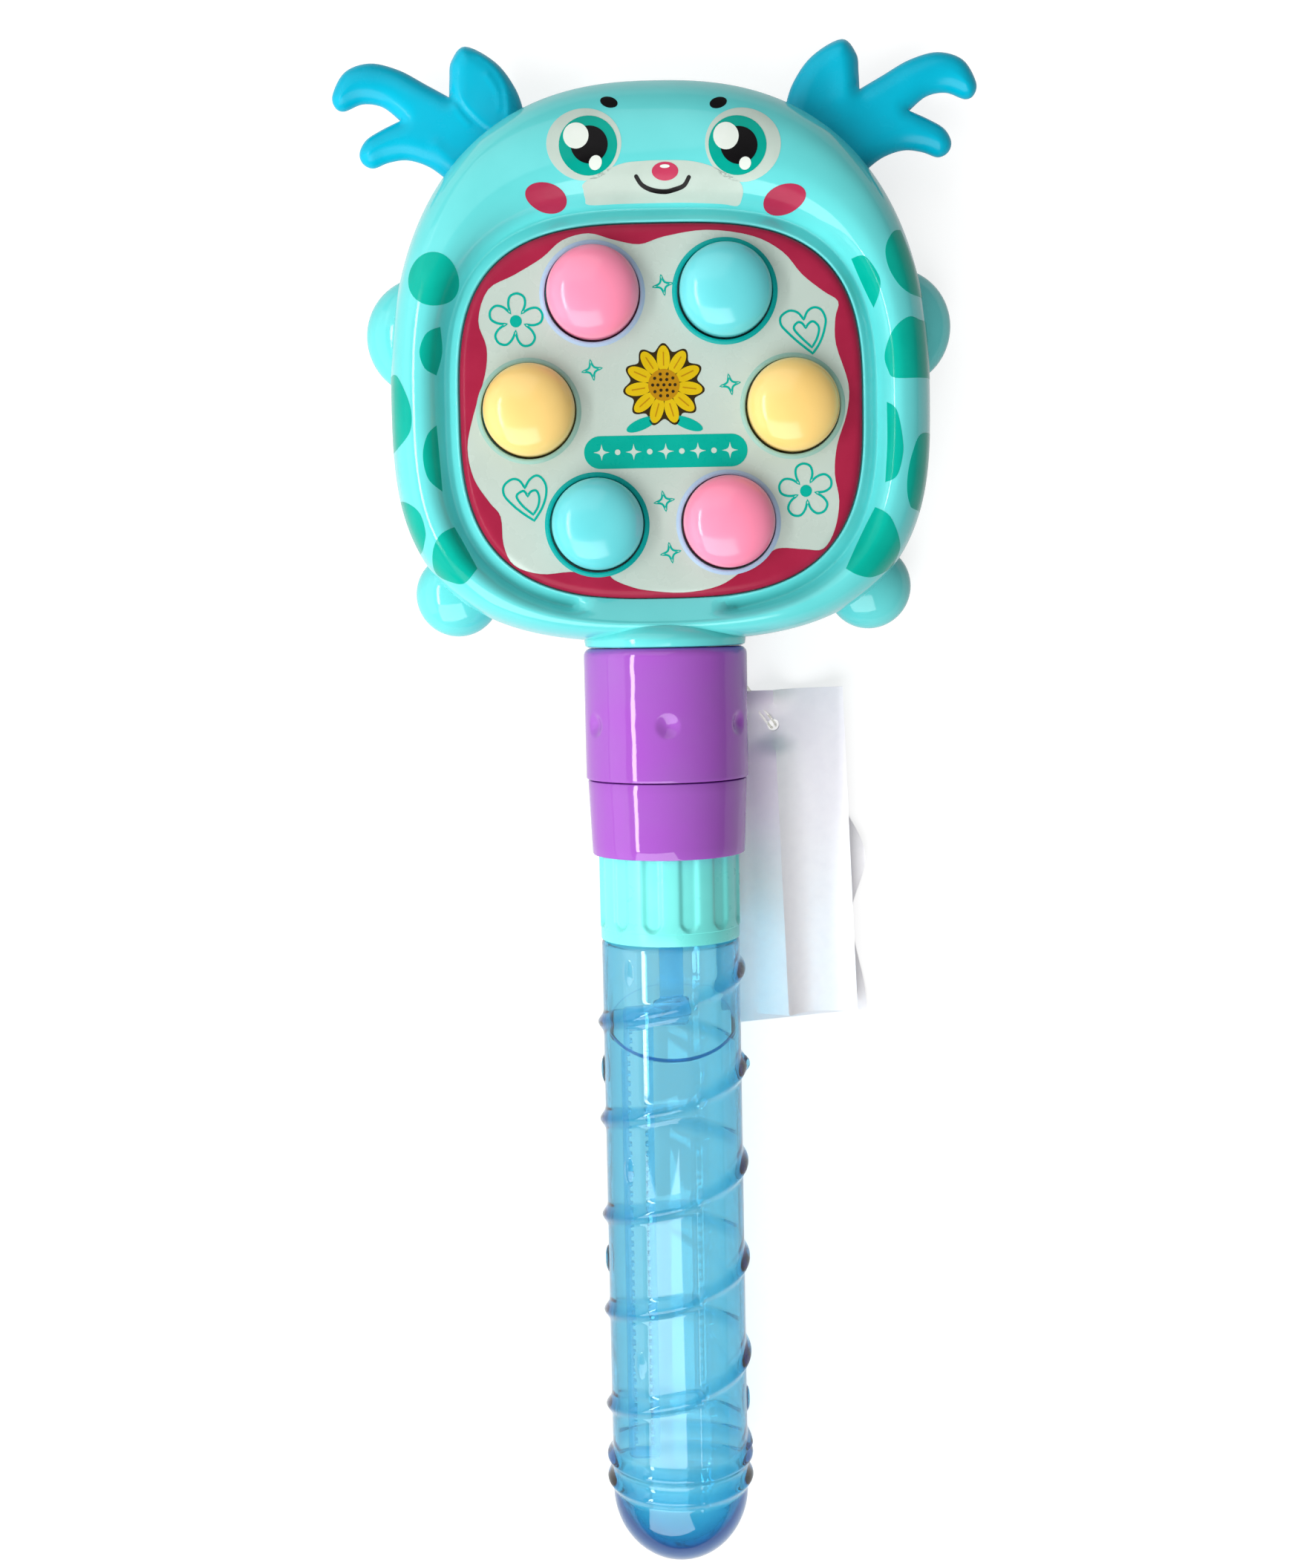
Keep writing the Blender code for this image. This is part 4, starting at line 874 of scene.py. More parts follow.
def prism(outline: Loop, low: float, high: float, swap: bool = False) -> Form:
    """Extrudes an outline of x and y along Z, or one of y and z along X where it is swapped."""
    form = Form()
    rows = [form.ring([(level, a, b) if swap else (a, b, level) for a, b in outline])
            for level in (low, high)]
    form.band(*rows)
    form.cap(rows[0][::-1])
    form.cap(rows[1])
    return form


def block(low: Place, high: Place) -> Form:
    """A box between two corners, to cut with or to join."""
    return prism([(low[0], low[1]), (high[0], low[1]), (high[0], high[1]), (low[0], high[1])],
                 low[2], high[2])


def rounded_block(low: Place, high: Place, radius: float) -> Form:
    """A box whose upright edges are round."""
    steps = 4
    left, right, down, up = low[0] + radius, high[0] - radius, low[1] + radius, high[1] - radius
    outline = []
    for corner, centre in enumerate(((right, up), (left, up), (left, down), (right, down))):
        outline += [polar(centre, radius, pi / 2.0 * (corner + k / steps)) for k in range(steps + 1)]
    return prism(outline, low[2], high[2])


def box_at(centre: Point, half: Point, low: float, high: float, radius: float = 0.0) -> Form:
    """A box from its middle and half sizes; a radius rounds its upright edges."""
    (x, y), (across, up) = centre, half
    corners = (x - across, y - up, low), (x + across, y + up, high)
    return rounded_block(*corners, radius) if radius else block(*corners)


def holed_plate(form: Form, edge: list[int], holes: list[Loop], z: float) -> list[list[int]]:
    """Fills a ring with a flat plate that has round holes.

    Args:
        form: The form that the plate is added to.
        edge: Numbers of the ring's points.
        holes: The holes' outlines.
        z: The plate's height.

    Returns:
        The numbers of each hole's points.
    """
    outline = [form.points[i][:2] for i in edge]
    rims = [form.ring([(x, y, z) for x, y in hole]) for hole in holes]
    numbers = [*edge, *(i for rim in rims for i in rim)]
    places, triangles = Region([outline], holes).triangles()
    form.faces += [tuple(numbers[i] for i in triangle) for triangle in triangles]
    if len(places) != len(numbers):
        raise ValueError("the plate's outlines cross")
    return rims


@dataclass(frozen=True)
class Egg:
    """An outline that is wide and square-shouldered, with unlike upper and lower halves."""

    centre_y: float
    half_width: float
    top_y: float
    bottom_y: float
    top_power: float
    bottom_power: float
    sides: int = 192

    def outline(self, inset: float = 0.0) -> Loop:
        """Returns the outline, or a line inside it.

        Args:
            inset: Distance inside the outline.

        Returns:
            Points from the right, anticlockwise.
        """
        points = []
        for turn in around(self.sides):
            c, s = cos(turn), sin(turn)
            power = self.top_power if s >= 0.0 else self.bottom_power
            height = (self.top_y if s >= 0.0 else self.bottom_y) - self.centre_y
            x = self.half_width - inset
            y = height - math.copysign(inset, height)
            points.append((math.copysign(abs(c) ** (2.0 / power), c) * x,
                           self.centre_y + abs(s) ** (2.0 / power) * y))
        return points


HEAD_EGG = Egg(centre_y=114.5, half_width=73.5, top_y=200.9, bottom_y=50.2, top_power=2.42, bottom_power=2.9)
PANEL_EGG = Egg(centre_y=111.7, half_width=54.2, top_y=161.5, bottom_y=61.7, top_power=3.15, bottom_power=2.9)


@dataclass
class ButtonSpec:
    """One push button: its name, finish, ring and place on the circle."""

    name: str
    finish: Moulded
    # The ring's ink is painted shade with a painted reflection of the button's colour.
    ring: Film
    slot: str
    angle: float
    circle_radius: float = 35.3
    circle_y: float = 112.6

    @property
    def centre(self) -> Point:
        """The button's middle on the panel."""
        return polar((0.0, self.circle_y), self.circle_radius, radians(self.angle))


BUTTONS = (
    ButtonSpec("pink_top", PINK, RING_LAVENDER_SHADE_AND_REFLECTION, "button_pink", 120.0),
    ButtonSpec("teal_top", SKY, RING_TEAL_SHADE_AND_REFLECTION, "button_teal", 60.0),
    ButtonSpec("yellow_right", YELLOW, RING_GREY_GREEN_SHADE_AND_REFLECTION, "button_yellow", 0.0),
    ButtonSpec("pink_bottom", PINK, RING_LAVENDER_SHADE_AND_REFLECTION, "button_pink", 300.0),
    ButtonSpec("teal_bottom", SKY, RING_TEAL_SHADE_AND_REFLECTION, "button_teal", 240.0),
    ButtonSpec("yellow_left", YELLOW, RING_GREY_GREEN_SHADE_AND_REFLECTION, "button_yellow", 180.0),
)


@dataclass
class Studio:
    """Camera, lamps, floor and world; places are in metres but for the camera's."""

    camera_place: Place = (-6.5, 59.2, 582.0)
    tilt: float = 5.0
    roll: float = 1.15
    lens: float = 46.02
    sensor: float = 36.0
    sight: tuple[float, float] = (0.01, 50.0)
    aim: Place = (0.0, 0.1, 0.02)
    floor_half: float = 6000.0
    floor_z: float = -0.05
    floor_grey: float = 0.4
    near_and_far: tuple[float, float] = (0.6, 3.0)
    near_glow: float = 0.75
    far_glow: float = 0.96
    world_glow: float = 0.2

    def camera(self) -> None:
        """Makes the camera that looks down at the toy."""
        data = bpy.data.cameras.new("camera")
        data.sensor_fit = "AUTO"
        data.sensor_width = self.sensor
        data.lens = self.lens
        data.clip_start, data.clip_end = self.sight
        item = add_object("camera", data)
        tilt, roll = radians(self.tilt), radians(self.roll)
        right = Vector((1.0, 0.0, 0.0))
        up = Vector((0.0, cos(tilt), -sin(tilt)))
        across = right * cos(roll) - up * sin(roll)
        above = right * sin(roll) + up * cos(roll)
        turn = Matrix((across, above, right.cross(up))).transposed().to_4x4()
        item.matrix_world = Matrix.Translation(Vector(self.camera_place) * MM) @ turn
        bpy.context.scene.camera = item

    def lamp(self, name: str, place: Place, width: float, height: float, power: float) -> None:
        """Makes one soft rectangular lamp that faces the toy.

        Args:
            name: The lamp's name.
            place: Its middle.
            width: Its size across.
            height: Its size along +Y as far as it can.
            power: Its power in watts.
        """
        data = bpy.data.lights.new(name, "AREA")
        data.shape = "RECTANGLE"
        data.size = width
        data.size_y = height
        data.energy = power
        back = (Vector(place) - Vector(self.aim)).normalized()
        along = (Vector((0.0, 1.0, 0.0)) - back * back.y).normalized()
        turn = Matrix((along.cross(back), along, back)).transposed().to_4x4()
        add_object(name, data).matrix_world = Matrix.Translation(Vector(place)) @ turn

    def lamps(self) -> None:
        """Lights the toy with a tall window and a pale wall at the left, and soft light from both ends."""
        self.lamp("window", (-1.2, 0.08, 1.12), width=0.17, height=1.1, power=9.5)
        self.lamp("wall", (-1.5, 0.1, 0.45), width=0.8, height=2.2, power=6.5)
        self.lamp("south_sky", (-0.55, -1.3, 1.4), width=2.2, height=1.6, power=47.0)
        self.lamp("north_sky", (-0.75, 1.45, 1.3), width=2.4, height=1.8, power=14.0)

    @staticmethod
    def strength(tree: bpy.types.NodeTree, socket: Socket, base: float,
                 shares: dict[str, float]) -> bpy.types.Node:
        """Sets a glow's strength by the kind of ray that sees it.

        Args:
            tree: The material's or world's nodes.
            socket: The strength that is set.
            base: The strength for every ray.
            shares: What each kind of ray sees on top of that.

        Returns:
            The node that adds the first kind's share.
        """
        paths = add_node(tree, "LightPath")
        steps = []
        for name, share in shares.items():
            step = tree.nodes.new("ShaderNodeMath")
            step.operation = "MULTIPLY_ADD"
            step.inputs[1].default_value = share
            step.inputs[2].default_value = base
            tree.links.new(paths.outputs[name], step.inputs[0])
            tree.links.new(step.outputs[0], socket)
            socket = step.inputs[2]
            steps.append(step)
        return steps[0]

    def world(self) -> None:
        """Makes the surroundings: even light on the toy, plain white to the camera."""
        world = bpy.data.worlds.new("surroundings")
        bpy.context.scene.world = world
        world.use_nodes = True
        tree = world.node_tree
        background = tree.nodes["Background"]
        background.inputs["Color"].default_value = (1.0, 1.0, 1.0, 1.0)
        shares = {"Is Camera Ray": 0.8, "Is Glossy Ray": 0.2, "Is Transmission Ray": 0.8}
        self.strength(tree, background.inputs["Strength"], self.world_glow, shares)

    def floor(self) -> None:
        """Makes a pale floor that keeps the toy's shadow and reads as white where it is lit."""
        form = Form()
        half, z = self.floor_half, self.floor_z
        form.cap(form.ring([(-half, -half, z), (half, -half, z), (half, half, z), (-half, half, z)]))
        item = add_object("floor", form.mesh("floor"))
        graph = Graph("floor_paper")
        tree = graph.tree
        graph.set(Base_Color=(self.floor_grey, self.floor_grey, self.floor_grey, 1.0), Roughness=0.9,
                  Specular_IOR_Level=0.1)
        glow, both = add_node(tree, "Emission"), add_node(tree, "AddShader")
        shares = {"Is Camera Ray": self.near_glow, "Is Glossy Ray": 0.45, "Is Transmission Ray": 0.1}
        seen = self.strength(tree, glow.inputs["Strength"], 0.0, shares)
        place, away = add_node(tree, "NewGeometry"), add_node(tree, "VectorMath")
        away.operation = "LENGTH"
        near, far = self.near_and_far
        fade = add_node(tree, "MapRange", From_Min=near, From_Max=far, To_Min=self.near_glow,
                        To_Max=self.far_glow)
        tree.links.new(place.outputs["Position"], away.inputs[0])
        tree.links.new(away.outputs["Value"], fade.inputs["Value"])
        tree.links.new(fade.outputs["Result"], seen.inputs[1])
        tree.links.new(graph.shader.outputs["BSDF"], both.inputs[0])
        tree.links.new(glow.outputs["Emission"], both.inputs[1])
        tree.links.new(both.outputs["Shader"], graph.output.inputs["Surface"])
        item.data.materials.append(graph.material)

    def build(self) -> None:
        """Sets the stage."""
        self.lamps()
        self.world()
        self.floor()
        bpy.context.scene.view_settings.view_transform = "Standard"


@dataclass
class NeckString:
    """Clear nylon line that ties the leaflet round the neck."""

    diameter: float = 0.7
    length: float = 152.6
    route: tuple[Place, ...] = (
        (31.9, 24.6, 0.55), (31.6, 25.4, 1.9), (29.6, 28.0, 2.6), (25.6, 33.4, 2.8), (21.0, 40.0, 3.0),
        (18.0, 44.8, 3.6), (16.4, 48.0, 5.0), (15.7, 49.25, 8.4), (14.4, 49.25, 13.6), (12.9, 49.25, 20.0),
        (11.9, 49.25, 26.6), (7.5, 49.25, 32.7), (0.0, 49.25, 35.3), (-7.5, 49.25, 32.7),
        (-11.9, 49.25, 26.6), (-12.1, 49.25, 19.6), (-8.6, 49.25, 13.6), (-2.4, 49.25, 9.8),
        (5.0, 49.25, 7.0), (10.6, 49.2, 4.6), (14.6, 47.0, 2.8), (18.8, 41.4, 1.9), (23.6, 34.0, 1.9),
        (28.2, 27.2, 2.0), (30.4, 24.4, 1.8), (30.9, 24.1, 0.6))

    def build(self) -> None:
        """Makes the line as one open curve along its route."""
        curve = bpy.data.curves.new("neck_string", "CURVE")
        curve.dimensions = "3D"
        curve.bevel_depth = self.diameter / 2.0 * MM
        curve.bevel_resolution = 3
        curve.use_fill_caps = True
        run = smooth_line(self.route, 6)
        spline = curve.splines.new("POLY")
        spline.points.add(len(run) - 1)
        for point, place in zip(spline.points, run):
            point.co = (*(Vector(place) * MM), 1.0)
        curve.materials.append(NYLON.material())
        item = add_object("neck_string", curve)
        fit(item, "head", "string_clear", "leaflet_string")
        tuple(c * MM for c in self.route[0])


@dataclass
class HeadCase:
    """Front and back halves of the head, with its ears, feet and neck."""

    parting_z: float = 21.0
    groove_to_lip: float = 4.4
    floor_z: float = 36.1
    section: tuple[Point, ...] = ((0.0, 21.3), (0.0, 27.5), (0.045, 31.65), (0.15, 36.4), (0.34, 40.24),
                                  (0.60, 42.0), (0.77, 41.5), (0.88, 39.8), (0.955, 37.4), (1.0, 36.0))
    groove: tuple[Point, ...] = ((0.0, 36.0), (0.35, 35.55), (0.85, 35.6), (1.5, 36.2), (2.6, 37.35),
                                 (3.6, 38.2), (4.05, 38.3), (4.35, 38.0), (4.4, 37.3), (4.4, 36.1))
    bridge_x: float = -3.0
    bridge_half: float = 20.5
    bridge_fade: float = 5.0
    bridge_start: tuple[float, float] = (0.77, 41.5)
    bridge_end_z: float = 38.2
    ear: Lobe = (65.2, 136.2, 11.0, 16.6, 9.6)
    foot: Lobe = (58.2, 64.2, 10.6, 11.9, 9.4)
    neck_face_y: float = 49.9
    neck_radius: float = 22.4
    spigot_radius: float = 11.8
    screw_angles: tuple[float, ...] = (-7.0, 57.0, -66.0, 187.0, 123.0, 246.0)
    back_radius: float = 6.0
    slot_ends: tuple[Point, Point] = ((35.7, 195.0), (57.0, 177.5))
    slot_out: float = 7.0
    slot_in: float = 6.0
    slot_low: float = 12.4

    def rim_ring(self, share: float, z: float, back_off: float = 0.0) -> list[Place]:
        """Returns a ring on the rim.

        Args:
            share: 0 at the head's outline, 1 at the groove round the panel.
            z: The ring's height.
            back_off: Distance further in, in millimetres.

        Returns:
            The ring's points.
        """
        ring = []
        for outer, inner in zip(HEAD_EGG.outline(), PANEL_EGG.outline()):
            reach = Vector(inner) - Vector(outer)
            width = reach.length - self.groove_to_lip
            place = Vector(outer) + reach.normalized() * (share * width + back_off)
            ring.append((place.x, place.y, z))
        return ring

    def face_ring(self, share: float, z: float, back_off: float = 0.0) -> list[Place]:
        """Returns a ring on the rim's outside, where the groove ends at the middle of the lower edge."""
        ring = self.rim_ring(share, z, back_off)
        start, start_z = self.bridge_start
        if share <= start or z <= self.floor_z and back_off >= self.groove_to_lip:
            return ring
        for i, (outer, inner) in enumerate(zip(HEAD_EGG.outline(), PANEL_EGG.outline())):
            x, y, low = ring[i]
            fade = min(1.0, (self.bridge_half - abs(inner[0] - self.bridge_x)) / self.bridge_fade)
            if inner[1] > PANEL_EGG.centre_y or fade <= 0.0:
                continue
            total = (Vector(inner) - Vector(outer)).length
            width = total - self.groove_to_lip
            along = (share * width + back_off - start * width) / (total - start * width)
            level = start_z + (self.bridge_end_z - start_z) * along
            ring[i] = (x, y, low + (level - low) * fade * fade * (3.0 - 2.0 * fade))
        return ring

    def front_form(self) -> Form:
        """Front shell: rounded rim, groove, lip, and the floor with its button holes."""
        form = Form()
        rows = [form.ring(self.face_ring(share, z)) for share, z in smooth_line(self.section, 5)[:-1]]
        rows += [form.ring(self.face_ring(1.0, z, off)) for off, z in smooth_line(self.groove, 3)]
        form.bands(rows)
        under_z = self.floor_z - WALL
        inner = [form.ring([(x, y, under_z) for x, y in PANEL_EGG.outline(1.0)]),
                 form.ring(self.rim_ring(1.0, 33.8, 0.6))]
        inner += [form.ring(self.rim_ring(share, z, off)) for share, z, off in smooth_line(
            ((0.9, 35.8, 0.0), (0.60, 39.8, 0.0), (0.38, 38.6, 0.5), (0.20, 36.0, 1.2), (0.06, 32.0, 1.9),
             (0.0, 29.0, 2.2), (0.0, 21.3, 2.2)), 3)]
        form.bands(inner)
        form.band(inner[-1], rows[0])
        holes = [circle(HOLE_RADIUS, spec.centre, 48) for spec in BUTTONS]
        tops = holed_plate(form, rows[-1], holes, self.floor_z)
        backs = holed_plate(form, inner[0], holes, under_z)
        for top, back in zip(tops, backs):
            form.band(top, back)
        return form

    def neck_form(self, lip: bool) -> Form:
        """The neck that the collar turns into, as a ring round the stick's axis.

        Args:
            lip: Whether its edge reaches down over the gap that the string runs in.

        Returns:
            The whole ring.
        """
        low, r = self.neck_face_y, self.neck_radius
        profile = [(self.spigot_radius, low)]
        if lip:
            profile += [(r - 7.0, low), (r - 6.8, low - 1.12), (r - 0.8, low - 1.12), (r - 0.2, low - 0.8)]
        else:
            profile.append((r - 0.4, low))
        profile += smooth_line(((r, low + 0.3), (r, low + 1.2), (r - 0.7, low + 2.6), (r - 2.0, low + 4.0),
                                (r - 3.8, low + 5.2), (r - 6.2, low + 6.3)), 3)
        profile += [(r - 8.6, low + 6.3), (r - 6.4, low + 2.6), (self.spigot_radius, low + 2.6)]
        return turned_on_stick(profile, 120)

    def neck_half(self, name: str, low: float, high: float, lip: bool) -> Item:
        """The part of the neck between two heights, to join to a shell."""
        neck = self.neck_form(lip).tool(name)
        carve(neck, "INTERSECT", block((-40.0, 40.0, low), (40.0, 80.0, high)).tool(name + "_half"))
        return neck

    def spigot_hole(self, name: str) -> Item:
        """Cutter for the hole that the collar's spigot goes through."""
        profile = ((0.0, 45.0), (self.spigot_radius, 45.0), (self.spigot_radius, 56.0), (0.0, 56.0))
        return turned_on_stick(profile, 64).tool(name)

    def front(self) -> Carrier:
        """Makes the front shell.

        Returns:
            Its surface, for prints.
        """
        form = self.front_form()
        shell = form.tool("face_shell")
        carve(shell, "UNION", self.neck_half("front_neck", self.parting_z + GAP, 60.0, True))
        carve(shell, "DIFFERENCE", self.spigot_hole("front_spigot_hole"))
        finish_carved(shell, TURQUOISE, 38.0, "head", "shell_turquoise", "front_shell")
        return Carrier(form)

    def lobe(self, spec: Lobe, side: Side) -> Item:
        """One ear or foot: a flattened ball."""
        x, y, z, radius, depth = spec
        steps = 20
        profile = []
        for i in range(steps + 1):
            turn = pi * (i / steps - 0.5)
            profile.append((radius * cos(turn) if 0 < i < steps else 0.0, z + depth * sin(turn)))
        return turned_up(profile, (side.value * x, y), 72).tool("lobe")

    def back_form(self) -> Form:
        """Back shell: wall, round edge and flat back."""
        form = Form()
        radius, steps = self.back_radius, 6
        rows = [form.ring(self.rim_ring(0.0, self.parting_z))]
        for k in range(steps + 1):
            turn = pi / 2.0 * k / steps
            rows.append(form.ring(self.rim_ring(0.0, radius * (1.0 - sin(turn)), radius * (1.0 - cos(turn)))))
        inner = [form.ring(self.rim_ring(0.0, WALL, radius + 1.0)),
                 form.ring(self.rim_ring(0.0, radius + 0.6, WALL)),
                 form.ring(self.rim_ring(0.0, self.parting_z, WALL))]
        form.bands(rows)
        form.cap(rows[-1])
        form.bands(inner)
        form.band(inner[-1], rows[0])
        form.cap(inner[0])
        return form

    def back(self) -> None:
        """Makes the back shell with its bay, grille, switch well and screw wells."""
        shell = self.back_form().tool("rear_shell")
        for side in Side:
            carve(shell, "UNION", self.lobe(self.ear, side), self.lobe(self.foot, side))
            carve(shell, "DIFFERENCE", self.antler_slot(side))
        BackFittings().carve_back(shell, [self.screw_place(angle) for angle in self.screw_angles])
        carve(shell, "UNION", self.neck_half("rear_neck", -5.0, self.parting_z, False))
        carve(shell, "DIFFERENCE", self.spigot_hole("rear_spigot_hole"))
        finish_carved(shell, TURQUOISE, 38.0, "head", "shell_turquoise", "back_shell")

    def antler_slot(self, side: Side) -> Item:
        """Cutter for the gap in the wall that an antler's root lies in."""
        first, last = (Vector(end) for end in self.slot_ends)
        along = (last - first).normalized()
        out = Vector((-along.y, along.x))
        spare = along * 0.5
        corners = (first - spare + out * self.slot_out, last + spare + out * self.slot_out,
                   last + spare - out * self.slot_in, first - spare - out * self.slot_in)
        outline = [(side.value * c.x, c.y) for c in corners]
        return prism(outline, self.slot_low, self.parting_z + 4.0).tool("slot")

    def screw_place(self, angle: float) -> Point:
        """The place of a case screw under the rim's crest, nearest to an angle in degrees."""
        coarse = 48
        index = round(angle / 360.0 * coarse) % coarse * (HEAD_EGG.sides // coarse)
        return self.rim_ring(0.6, 0.0)[index][:2]

    def build(self) -> Carrier:
        """Makes both shells and returns the front one's surface."""
        self.back()
        return self.front()


@dataclass
class BackFittings:
    """Battery bay, door, speaker, switch and screws."""

    bay_centre: Point = (0.0, 112.5)
    bay_size: Point = (56.0, 40.0)
    bay_top: float = 14.6
    ledge: float = 2.0
    bay_wall: float = 1.3
    plate_top: float = 1.1
    door_seat: float = 2.25
    door_face: float = 0.02
    door_thickness: float = 1.9
    door_ear: float = 4.2
    boss_radius: float = 5.4
    boss_top: float = 9.0
    pilot_radius: float = 1.6
    pilot_top: float = 7.0
    grip_half: Point = (9.0, 0.5)
    grip_pitch: float = 2.2
    speaker_y: float = 172.0
    speaker_radius: float = 14.5
    grille_slots: int = 5
    grille_pitch: float = 4.4
    switch_y: float = 75.0
    switch_x: float = -2.5
    well_half: Point = (9.0, 4.2)
    well_depth: float = 1.3
    slit_half: Point = (4.3, 2.1)
    knob_half: Point = (3.0, 2.8)
    stem_half: Point = (1.5, 1.6)
    keeper_half: Point = (4.5, 3.6)
    ridge_pitch: float = 1.3
    screw_radius: float = 2.7
    screw_seat: float = 7.0
    shank_radius: float = 1.3
    thread_pitch: float = 1.1
    case_shank: float = 17.0
    tower_radius: float = 4.6
    tower_top: float = 13.7
    mouth_radius: float = 3.4
    well_top: float = 20.0
    ear_seat: float = 2.1
    ear_shank: float = 3.0
    cell_z: float = 8.1
    cell_pitch: float = 11.4

    @property
    def ear_centre(self) -> Point:
        """Middle of the door's screw ear."""
        return (self.bay_centre[0], self.bay_centre[1] + self.bay_size[1] / 2.0 + self.ledge + 1.0)

    def bay_block(self, margin: float, low: float, high: float, radius: float) -> Form:
        """A box that reaches beyond the bay by a margin, with round upright edges."""
        half = (self.bay_size[0] / 2.0 + margin, self.bay_size[1] / 2.0 + margin)
        return box_at(self.bay_centre, half, low, high, radius)

    def carve_back(self, shell: Item, screws: list[Point]) -> None:
        """Adds the bay and cuts the openings in the back shell.

        Args:
            shell: The back shell.
            screws: Places of the case screws.
        """
        walls = self.bay_block(self.ledge + self.bay_wall, self.plate_top, self.bay_top + 1.3, 2.4)
        carve(shell, "UNION", walls.tool("bay_walls"),
              post(self.ear_centre, self.boss_radius, self.plate_top, self.boss_top, 40).tool("door_boss"))
        (x, y), (width, height) = self.bay_centre, self.bay_size
        reach, hinge_y = width / 2.0 + self.ledge, y - height / 2.0
        hinge_seat = block((x - reach, hinge_y - self.ledge, -2.1),
                           (x + reach, hinge_y, self.door_seat + 0.1))
        carve(shell, "DIFFERENCE", self.bay_block(self.ledge, -2.0, self.door_seat, 1.2).tool("door_seat"),
              hinge_seat.tool("hinge_seat"), self.bay_block(0.0, -2.5, self.bay_top, 1.0).tool("bay_cavity"),
              post(self.ear_centre, self.door_ear + GAP, -2.2, self.door_seat).tool("ear_seat"),
              post(self.ear_centre, self.pilot_radius, 0.0, self.pilot_top).tool("pilot_hole"))
        posts, wells = Form(), Form()
        head, shank, seat = self.screw_radius + GAP, self.shank_radius + GAP, self.screw_seat
        for place in screws:
            posts.add(post(place, self.tower_radius, self.plate_top, self.tower_top, 32))
            wells.add(turned_up(((0.0, -2.0), (self.mouth_radius, -2.0), (head, 0.5), (head, seat),
                                 (shank, seat), (shank, self.well_top), (0.0, self.well_top)), place, 32))
        carve(shell, "UNION", posts.tool("screw_posts"))
        carve(shell, "DIFFERENCE", wells.tool("screw_wells"))
        slots = Form()
        for slot in range(self.grille_slots):
            offset = (slot - (self.grille_slots - 1) / 2.0) * self.grille_pitch
            half = math.sqrt((self.speaker_radius - 2.0) ** 2 - offset ** 2)
            slots.add(box_at((0.0, self.speaker_y + offset), (half, 1.0), -2.0, 5.0, 0.99))
        middle = (0.0, self.switch_y)
        carve(shell, "DIFFERENCE", slots.tool("grille"),
              box_at(middle, self.well_half, -2.0, self.well_depth, 1.6).tool("well"),
              box_at(middle, self.slit_half, -2.4, 6.0).tool("slit"))

    def screw(self, name: str, centre: Point, seat: float, length: float, body: str, node: str) -> None:
        """Makes one screw whose head faces down: rounded head, cross recess and a threaded shank.

        Args:
            name: The piece's name.
            centre: Place of its axis.
            seat: Height of its head's underside.
            length: Length of its shank.
            body: The body that it rides on.
            node: The node that it stands for.
        """
        r, s, low, pitch = self.screw_radius, self.shank_radius, seat - 2.0, self.thread_pitch
        profile = [(0.0, low), (r * 0.55, low + 0.08), (r * 0.86, low + 0.4), (r, low + 0.95), (r, seat),
                   (s, seat)]
        for k in range(int(length / pitch)):
            z = seat + 0.5 + k * pitch
            profile += [(s * 0.8, z), (s, z + pitch / 2.0)]
        profile += [(s * 0.6, seat + length), (0.0, seat + length + 0.8)]
        item = turned_up(profile, centre, 40).tool(name)
        arm, half, deep = 1.6, 0.38, seat - 0.9
        carve(item, "DIFFERENCE", *(box_at(centre, sizes, low - 1.0, deep).tool("recess")
                                    for sizes in ((arm, half), (half, arm))))
        finish_carved(item, STEEL, 30.0, body, "steel", node)

    def door(self) -> None:
        """Makes the battery door with its round hinge edge, grip ridges and screw ear."""
        (x, y), (width, height) = self.bay_centre, self.bay_size
        hx, hy = width / 2.0 + self.ledge - GAP, height / 2.0 + self.ledge - GAP
        face, top = self.door_face, self.door_thickness + self.door_face
        item = rounded_block((x - hx, y - hy - 1.0, -1.0), (x + hx, y + hy, top + 1.0), 1.2).tool("bay_door")
        radius = self.door_thickness / 2.0
        section = [(y + hy + 1.0, face), (y + hy + 1.0, top)]
        section += [polar((y - hy + radius, face + radius), radius, radians(90.0 + 30.0 * k))
                    for k in range(7)]
        carve(item, "INTERSECT", prism(section, x - hx - 1.0, x + hx + 1.0, swap=True).tool("hinge_edge"))
        low, high, reach = face + 0.03, top - 0.05, self.door_ear
        ear = turned_up(((0.0, low), (reach - 0.3, low), (reach, low + 0.3), (reach, high), (0.0, high)),
                        self.ear_centre, 48)
        carve(item, "UNION", ear.tool("door_ear"))
        grips = Form()
        for k in range(5):
            grips.add(box_at((x, y + 6.5 + k * self.grip_pitch), self.grip_half, -1.0, 0.45, 0.49))
        carve(item, "DIFFERENCE", grips.tool("grips"),
              post(self.ear_centre, self.pilot_radius, -2.0, 5.0).tool("screw_hole"),
              post(self.ear_centre, 3.0, -2.1, 1.0).tool("head_seat"))
        edge = item.modifiers.new("soft_edge", "BEVEL")
        edge.width = 0.25 * MM
        edge.segments = 2
        edge.limit_method = "ANGLE"
        edge.angle_limit = radians(60.0)
        finish_carved(item, TURQUOISE, 30.0, "door", "shell_turquoise", "battery_door")

